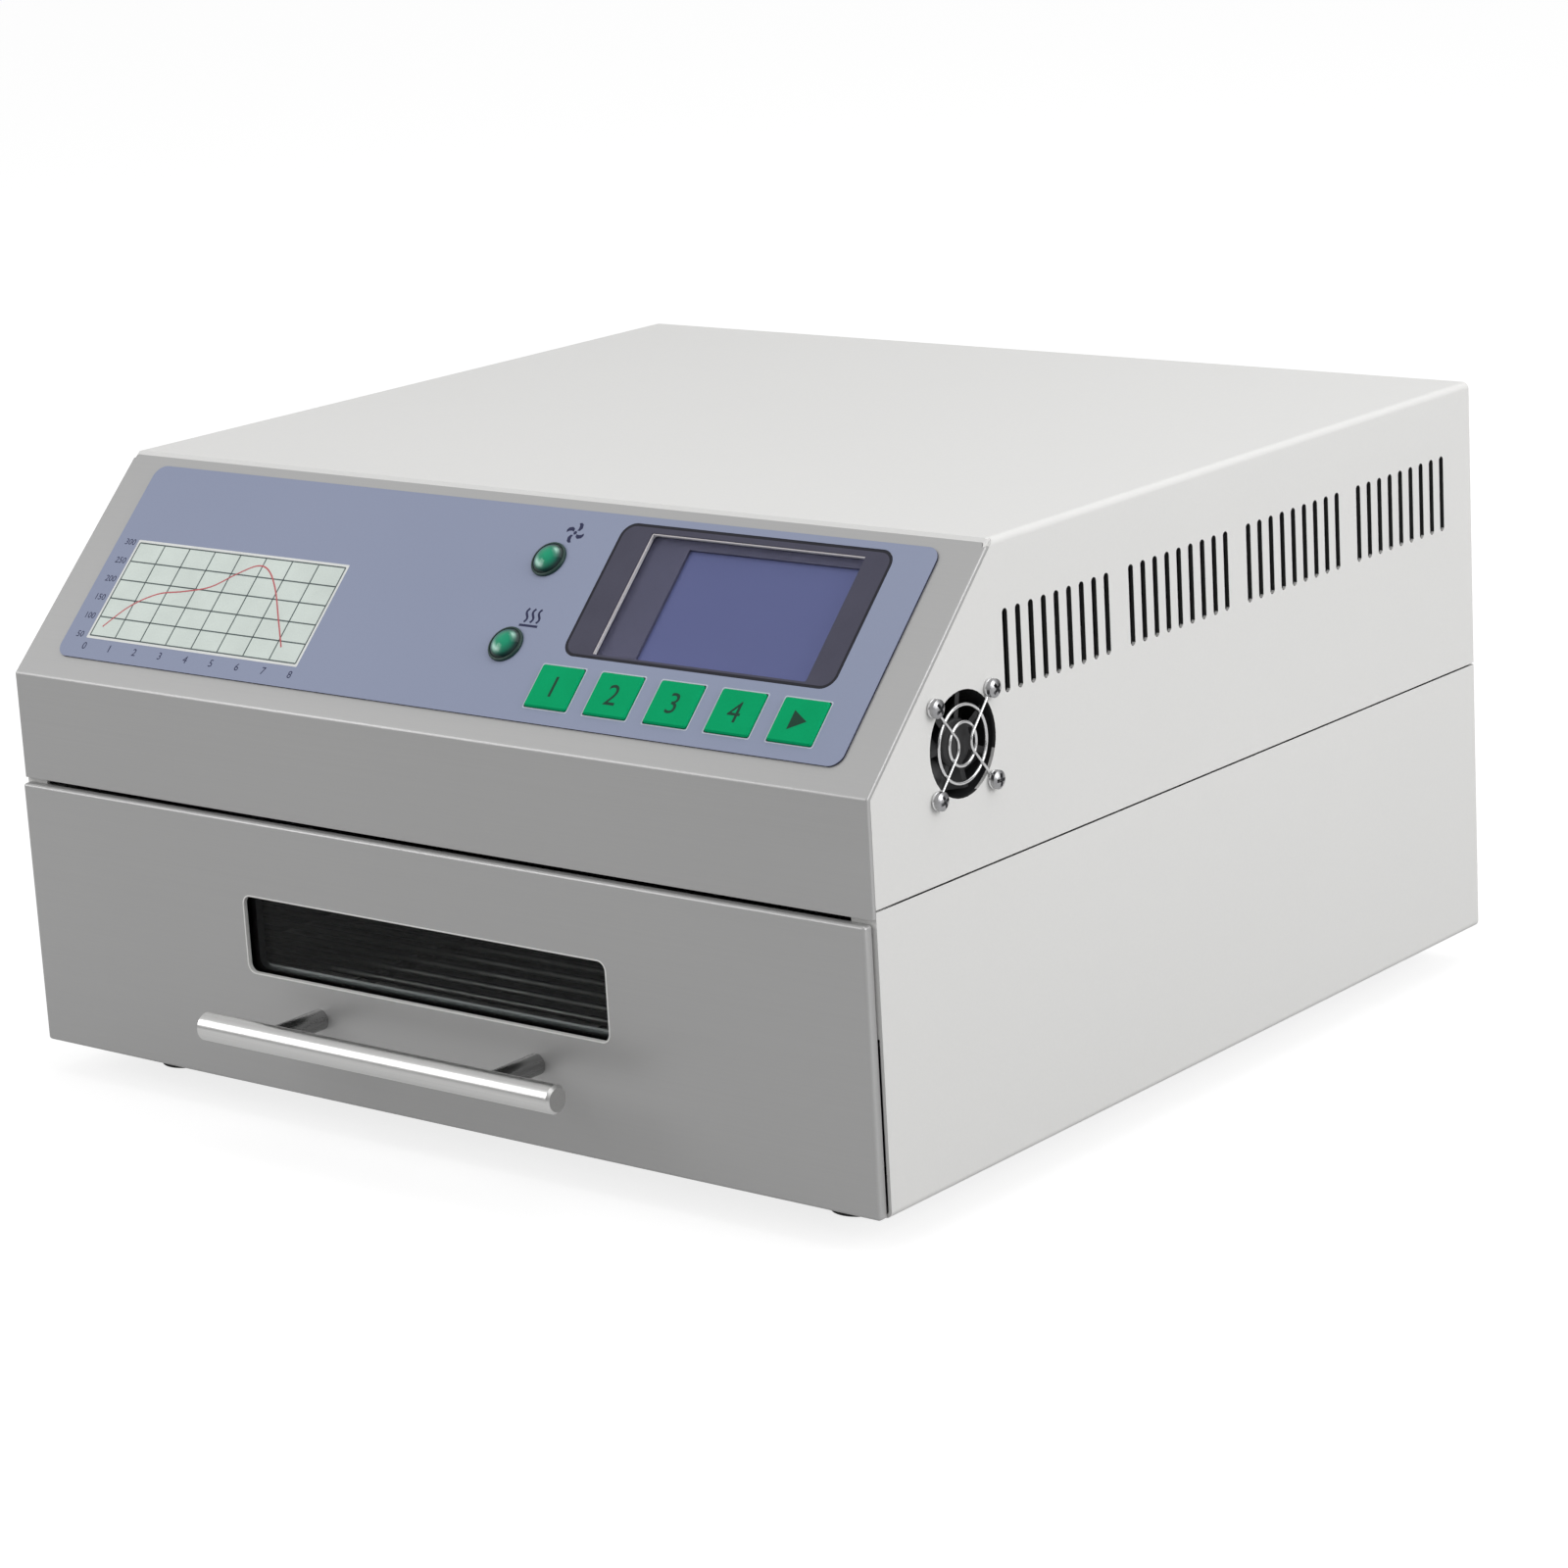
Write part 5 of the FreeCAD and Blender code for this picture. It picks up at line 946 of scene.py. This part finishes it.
def heat_sign(work, x, y, size):
    """Three rising waves over a bar."""
    for shift in (-0.6, 0, 0.6):
        wave = [(x + (shift + 0.16 * math.sin(step * 0.7)) * size, y + (step / 9 - 0.35) * 1.2 * size)
                for step in range(10)]
        slab(work, ribbon(wave, 0.2 * size), FILM_TOP, FILM_TOP + INK)
    slab(work, rounded(x - 0.9 * size, y - 0.8 * size, x + 0.9 * size, y - 0.6 * size, 0.05, 1),
         FILM_TOP, FILM_TOP + INK)


SIGN_SIZE, SIGN_RIGHT, FAN_UP, HEAT_UP = 3.6, 4.2, 4.6, 4.4
work = bmesh.new()
fan_low, fan_high = on_panel("fan_indicator")
sign_x = (fan_low.x + fan_high.x) / 2 + SIGN_RIGHT
fan_sign(work, sign_x, fan_high.y + FAN_UP, SIGN_SIZE)
heat_sign(work, sign_x, on_panel("heat_indicator")[1].y + HEAT_UP, SIGN_SIZE)
piece(panel_mesh(work, "lamp_signs", navy_ink), "lamp_signs")

# %% Pale lines round the keys
LINE_NEAR, LINE_FAR = 0.2, 0.55
work = bmesh.new()
for number in range(1, 6):
    low, high = on_panel("key_%d" % number, FILM_TOP)
    outer, inner = (rounded(low.x - away, low.y - away, high.x + away, high.y + away, away, 2)
                    for away in (LINE_FAR, LINE_NEAR))
    band(work, outer, inner, FILM_TOP, FILM_TOP + INK)
# A pale ring is laid on the film round each key.
piece(panel_mesh(work, "key_lines", ink("pale_key_ring", 200, 208, 220)), "key_lines")

# %% Key legends
KEYS = ("1", "2", "3", "4", "start")
FIGURE_HIGH, TRIANGLE = 6.2, ((-2.2, -2.9), (2.9, 0), (-2.2, 2.9))
for number, legend in enumerate(KEYS, 1):
    low, high = on_panel("key_%d" % number)
    x, y, top = (low.x + high.x) / 2, (low.y + high.y) / 2, high.z
    name = "key_%d_legend" % number
    if legend == "start":
        work = bmesh.new()
        slab(work, [(x + across, y + up) for across, up in TRIANGLE], top, top + INK)
        legend_mesh = panel_mesh(work, name, legend_ink)
    else:
        legend_mesh = laid([(figures(legend, FIGURE_HIGH, INK), x, y, top)], name, legend_ink)
    piece(legend_mesh, name, "key_%d_cap" % number)

# %% [markdown]
# ## Screws
# The screws of the rear and of the small fan are pan heads with a cross recess. All are the same, so
# one tree makes a head, cuts the cross out of it, adds the shank, and sets a copy on every seat,
# each turned a little differently, as a hand leaves them. The seats are read from the solids.

# %% Screw tree
screw, given, made = geometry_tree(
    "pan_head_screws", ("Head", "Float"), ("Head Height", "Float"), ("Dome", "Float"), ("Shank", "Float"),
    ("Length", "Float"), ("Arm", "Float"), ("Slot", "Float"), ("Depth", "Float"), ("Facing", "Vector"),
    ("Seed", "Int"), ("Coat", "Material"))
head = add(screw, "GeometryNodeMeshCylinder", {
    "Vertices": 28, "Side Segments": 2, "Fill Segments": 5, "Radius": given["Head"],
    "Depth": given["Head Height"]}, fill_type="TRIANGLE_FAN")
place = add(screw, "ShaderNodeSeparateXYZ", {0: add(screw, "GeometryNodeInputPosition")})
flat = box_size(screw, place.outputs[0], place.outputs[1], 0)
away = add(screw, "ShaderNodeVectorMath", {0: flat}, operation="LENGTH").outputs["Value"]
share = calc(screw, "POWER", calc(screw, "DIVIDE", away, given["Head"]), 3)
upper = calc(screw, "GREATER_THAN", place.outputs[2], 1e-5)
lowered = calc(screw, "MULTIPLY", given["Dome"], -1)
drop = calc(screw, "MULTIPLY", calc(screw, "MULTIPLY", share, upper), lowered)
domed = add(screw, "GeometryNodeSetPosition", {
    "Geometry": head, "Offset": box_size(screw, 0, 0, drop)})
print("screw head of", len(screw.nodes), "nodes so far")

# %% Cross recess, shank and copies
half_head = calc(screw, "MULTIPLY", given["Head Height"], 0.5)
cut = add(screw, "GeometryNodeMeshBoolean", {"Mesh 1": domed}, operation="DIFFERENCE")
for sides in (("Arm", "Slot"), ("Slot", "Arm")):
    bar_size = box_size(screw, *(given[side] for side in sides), given["Depth"])
    bar = add(screw, "GeometryNodeMeshCube", {"Size": bar_size})
    screw.links.new(moved(screw, bar, 0, 0, half_head), cut.inputs["Mesh 2"])
seated = moved(screw, cut, 0, 0, half_head)
shank = add(screw, "GeometryNodeMeshCylinder", {
    "Vertices": 16, "Radius": given["Shank"], "Depth": given["Length"]})
hung = moved(screw, shank, 0, 0, calc(screw, "MULTIPLY", given["Length"], -0.5))
spin = add(screw, "FunctionNodeRandomValue", {"Seed": given["Seed"], 2: 0.0, 3: math.pi / 2})
spun = add(screw, "FunctionNodeAxisAngleToRotation", {"Axis": (0, 0, 1), "Angle": spin.outputs[1]})
facing = add(screw, "FunctionNodeAlignRotationToVector", {"Vector": given["Facing"]}, axis="Z")
turned = add(screw, "FunctionNodeRotateRotation", {0: facing, 1: spun},
             rotation_space="LOCAL")
copies = add(screw, "GeometryNodeInstanceOnPoints", {
    "Points": given["Geometry"], "Instance": together(screw, seated, hung), "Rotation": turned})
end_tree(screw, copies, given["Coat"], made)

# %% Screws on their seats
def loose_parts(node):
    """The box of every separate solid in a node."""
    work = bmesh.new()
    work.from_mesh(solids[node].data)
    bmesh.ops.remove_doubles(work, verts=work.verts, dist=1e-6)
    left, boxes = set(work.verts), []
    while left:
        group, edge = set(), [left.pop()]
        while edge:
            vertex = edge.pop()
            group.add(vertex)
            for link in vertex.link_edges:
                other = link.other_vert(vertex)
                if other in left:
                    left.discard(other)
                    edge.append(other)
        boxes.append(box_of([vertex.co for vertex in group]))
    work.free()
    return sorted(boxes, key=lambda box: tuple(box[0]))


HEAD_ROOM = 2.2 * MM
SCREW_SIZES = {"Head Height": 1.8 * MM, "Dome": 0.8 * MM, "Shank": 1.5 * MM, "Length": 8 * MM,
               "Arm": 3.4 * MM, "Slot": 0.9 * MM, "Depth": 2.2 * MM}
screw_finish = metal_finish(
    "plated_screw", (0.46, 0.46, 0.47, 1), (0.32, 0.32, 0.33, 1), (500, 500, 500), (0.24, 0.4), 0.000006)
for node, axis, seed in (("rear_screws", 1, 3), ("cooling_fan_screws", 0, 8)):
    boxes = loose_parts(node)
    seats = []
    for low, high in boxes:
        seat = (low + high) / 2
        seat[axis] = high[axis] - HEAD_ROOM
        seats.append(seat)
    across = 1 - axis
    head_radius = (boxes[0][1][across] - boxes[0][0][across]) / 2
    facing = Vector((across, axis, 0))
    row = grown(node, screw, {
        **SCREW_SIZES, "Head": head_radius, "Facing": facing, "Seed": seed, "Coat": screw_finish}, seats)
    piece(smooth(row), node + "_cross_head", replaces=[node])
    print(len(seats), "screws")

# %% [markdown]
# ## Heating spirals
# Inside each quartz tube a thin wire is wound into a long spiral. A spiral follows a rule, so one
# tree winds it, with the number of turns, the radius and the wire as inputs, and sets one on every
# tube's end.

# %% Spiral tree
spiral, given, made = geometry_tree(
    "heating_spirals", ("Turns", "Float"), ("Radius", "Float"), ("Length", "Float"), ("Wire", "Float"),
    ("Coat", "Material"))
wound = add(spiral, "GeometryNodeCurveSpiral", {
    "Resolution": 10, "Rotations": given["Turns"], "Start Radius": given["Radius"],
    "End Radius": given["Radius"], "Height": given["Length"]})
section = add(spiral, "GeometryNodeCurvePrimitiveCircle", {"Resolution": 5, "Radius": given["Wire"]})
tube = add(spiral, "GeometryNodeCurveToMesh", {
    "Curve": wound, "Profile Curve": section, "Fill Caps": True})
lying = add(spiral, "GeometryNodeTransform", {"Geometry": tube, "Rotation": (0, math.pi / 2, 0)})
copies = add(spiral, "GeometryNodeInstanceOnPoints", {
    "Points": given["Geometry"], "Instance": lying})
end_tree(spiral, copies, given["Coat"], made)

# %% Spirals in the tubes
wire_finish = metal_finish(
    "oxidised_resistance_wire", (0.30, 0.27, 0.25, 1), (0.20, 0.18, 0.17, 1), (400, 400, 400), (0.4, 0.6),
    0.000006)
SPARE = 14 * MM
starts, run = [], 0
for number in range(1, 5):
    low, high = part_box("heater_tube_%d" % number)
    starts.append((low.x + SPARE, (low.y + high.y) / 2, (low.z + high.z) / 2))
    run = high.x - low.x - 2 * SPARE
spirals = grown("heating_spirals", spiral, {
    "Turns": 80.0, "Radius": 2.6 * MM, "Length": run, "Wire": 0.3 * MM, "Coat": wire_finish}, starts)
piece(smooth(spirals), "heating_spirals")

# %% [markdown]
# ## The insulation mat
# Over the hood lies a felted fibre mat. It is soft: its faces swell and sink a little and its edges
# are round and uneven. A grid of points on both faces is moved by noise that never changes, and the
# rim joins them. A cloth solver would add little here, because the mat is stiff felt held flat.

# %% Mat
def rim_of(rows):
    """The points round a grid, in order."""
    last, first = [row[-1] for row in rows[:-1]], [row[0] for row in rows[:0:-1]]
    return rows[0][:-1] + last + rows[-1][:0:-1] + first


low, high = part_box("insulation_blanket")
ACROSS, ALONG, ROUND = 72, 62, 0.035
SWELL, PULL = 0.55 * MM, 1.2 * MM
COARSE, FINE, TORN = 38, 110, 60
work = bmesh.new()
rims = []
for top in (True, False):
    rows = []
    for j in range(ALONG + 1):
        row = []
        for i in range(ACROSS + 1):
            u, v = i / ACROSS, j / ALONG
            rim = min(u, 1 - u, v * 0.86, (1 - v) * 0.86)
            draw = math.sqrt(min(rim / ROUND, 1))
            x, y = low.x + u * (high.x - low.x), low.y + v * (high.y - low.y)
            lump = noise.noise((x * COARSE, y * COARSE, 3 if top else 9))
            lump += 0.5 * noise.noise((x * FINE, y * FINE, 5))
            half = (high.z - low.z) / 2 * (0.25 + 0.62 * draw)
            z = (low.z + high.z) / 2 + (half + SWELL * lump) * (1 if top else -1)
            pull = PULL * (0.5 + 0.5 * noise.noise((x * TORN, y * TORN, 1))) if rim == 0 else 0
            x += pull * ((u == 0) - (u == 1))
            y += pull * ((v == 0) - (v == 1))
            row.append(work.verts.new((x, y, z)))
        rows.append(row)
    for j in range(ALONG):
        for i in range(ACROSS):
            work.faces.new((rows[j][i], rows[j][i + 1], rows[j + 1][i + 1], rows[j + 1][i]))
    rims.append(rim_of(rows))
wall(work, *rims)
mat_mesh = panel_mesh(work, "felt_mat", finishes["white_fibre"], plane=Matrix())
mat = piece(smooth(mat_mesh, 180), "felt_mat", replaces=["insulation_blanket"])

# %% [markdown]
# ## The mains inlet and the switch
# The inlet's housing is black and its three pins are bright, though they are one solid. A copy gives
# the faces of the pins their own finish. The switch carries the two usual marks, a bar and a ring,
# pressed on to its slanted faces by casting each point of the mark on to the solid behind it.

# %% Pins
PIN_SPOTS, PIN_REACH = ((0, 2), (7, -2), (-7, -2)), 2.2
low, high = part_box("mains_inlet")
centre = (low + high) / 2
pin_finish = metal_finish(
    "nickel_pin", (0.72, 0.70, 0.64, 1), (0.58, 0.56, 0.52, 1), (300, 900, 300), (0.18, 0.32), 0.000004)
inlet = merged_copy("mains_inlet")


def on_pin(face):
    """Whether all corners of a face lie on one pin."""
    corners = [(inlet.vertices[index].co - centre) / MM for index in face.vertices]
    return any(all(max(abs(corner.x - x), abs(corner.z - z)) < PIN_REACH for corner in corners)
               for x, z in PIN_SPOTS)


second_finish(inlet, pin_finish, on_pin)
piece(inlet, "mains_inlet_housing", replaces=["mains_inlet"])

# %% Marks on the switch
BAR_HALF, BAR_LOW, BAR_HIGH = 0.35, 3.4, 6.6
RING_DOWN, RING_OUT, RING_IN, MARK_THICK = 5.0, 1.7, 1.1, 0.05
rocker_mesh = solids["power_rocker"].data
rocker_tree = BVHTree.FromPolygons([vertex.co for vertex in rocker_mesh.vertices],
                                   [tuple(face.vertices) for face in rocker_mesh.polygons])
low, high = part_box("power_rocker")
work = bmesh.new()
x, z = (low.x + high.x) / 2 / MM, (low.z + high.z) / 2 / MM
slab(work, rounded(x - BAR_HALF, z + BAR_LOW, x + BAR_HALF, z + BAR_HIGH, 0.1, 2), 0, MARK_THICK)
band(work, disc(x, z - RING_DOWN, RING_OUT), disc(x, z - RING_DOWN, RING_IN), 0, MARK_THICK)
for vertex in work.verts:
    start = Vector((vertex.co.x * MM, 0.2, vertex.co.y * MM))
    spot, normal, _, _ = rocker_tree.ray_cast(start, Vector((0, -1, 0)))
    vertex.co = spot + normal * vertex.co.z * MM
piece(panel_mesh(work, "switch_marks", white_ink, plane=Matrix()), "switch_marks", "rocker")

# %% [markdown]
# ## A soft white studio
# The floor is one large pale sheet. The camera sees it white, and still sees the shadow of the
# oven on it, because part of its brightness is real light and part is given to camera, mirror and
# glass rays alone. Mirror rays get less, so that bright metal keeps a dark side. Three large soft
# lamps light the oven at a plain level: one overhead, one for the right side and one for the front.

# %% Floor
def seen_rays(tree, straight, mirrored):
    """One level for camera and glass rays, one for mirror rays, 0 for the light that falls on things."""
    path = add(tree, "ShaderNodeLightPath").outputs
    through = calc(tree, "MAXIMUM", path["Is Camera Ray"], path["Is Transmission Ray"])
    mirror = calc(tree, "MULTIPLY", path["Is Glossy Ray"], calc(tree, "SUBTRACT", 1, through))
    seen = calc(tree, "MULTIPLY", through, straight)
    return calc(tree, "ADD", seen, calc(tree, "MULTIPLY", mirror, mirrored))


HALF, FLOOR_SEEN, FLOOR_MIRRORED = 9, 0.80, 0.40
floor_mesh = bpy.data.meshes.new("floor")
floor_mesh.from_pydata([(-HALF, -HALF, 0), (HALF, -HALF, 0), (HALF, HALF, 0), (-HALF, HALF, 0)], [],
                       [(0, 1, 2, 3)])
floor = bpy.data.objects.new("floor", floor_mesh)
floor_mesh.transform(Matrix.Translation((0, 0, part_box("rubber_feet")[0].z - 0.1 * MM)))
paper, tree, shader = new_finish("white_paper", {"Base Color": grey(0.32), "Roughness": 0.9})
tree.links.new(seen_rays(tree, FLOOR_SEEN, FLOOR_MIRRORED), shader.inputs["Emission Strength"])
shader.inputs["Emission Color"].default_value = (1, 1, 1, 1)
shader.inputs["Specular IOR Level"].default_value = 0
floor_mesh.materials.append(paper)
scene.collection.objects.link(floor)
print("floor", 2 * HALF, "m wide")

# %% Sky
world = bpy.data.worlds.new("studio")
world.use_nodes = True
scene.world = world
tree = world.node_tree
AMBIENT, HORIZON, ZENITH = 0.55, 0.15, 0.7
up = add(tree, "ShaderNodeSeparateXYZ", {0: add(tree, "ShaderNodeTexCoord").outputs["Generated"]}).outputs[2]
sky = spread(tree, up, 0.05, 0.55, HORIZON, ZENITH)
level = calc(tree, "ADD", seen_rays(tree, 1 - AMBIENT, calc(tree, "SUBTRACT", sky, AMBIENT)), AMBIENT)
tree.links.new(level, tree.nodes["Background"].inputs["Strength"])
tree.nodes["Background"].inputs["Color"].default_value = (1, 1, 1, 1)
print("sky from", HORIZON, "to", ZENITH)

# %% Lamps
def soft_lamp(name, place, aim, width, watts):
    data = bpy.data.lights.new(name, "AREA")
    data.size = width
    data.energy = watts
    lamp = bpy.data.objects.new(name, data)
    place = Vector(place)
    lamp.matrix_world = aimed(place, aim - place)
    scene.collection.objects.link(lamp)
    return lamp


middle = (cad_box[0] + cad_box[1]) / 2
soft_lamp("overhead_lamp", (0.25, 0.25, 1.7), middle, 1.6, 8)
soft_lamp("side_lamp", (1.7, 0.2, 0.8), middle, 1.2, 15)
soft_lamp("front_lamp", (-1.3, -1.25, 0.95), middle, 0.9, 8)
print("three lamps")
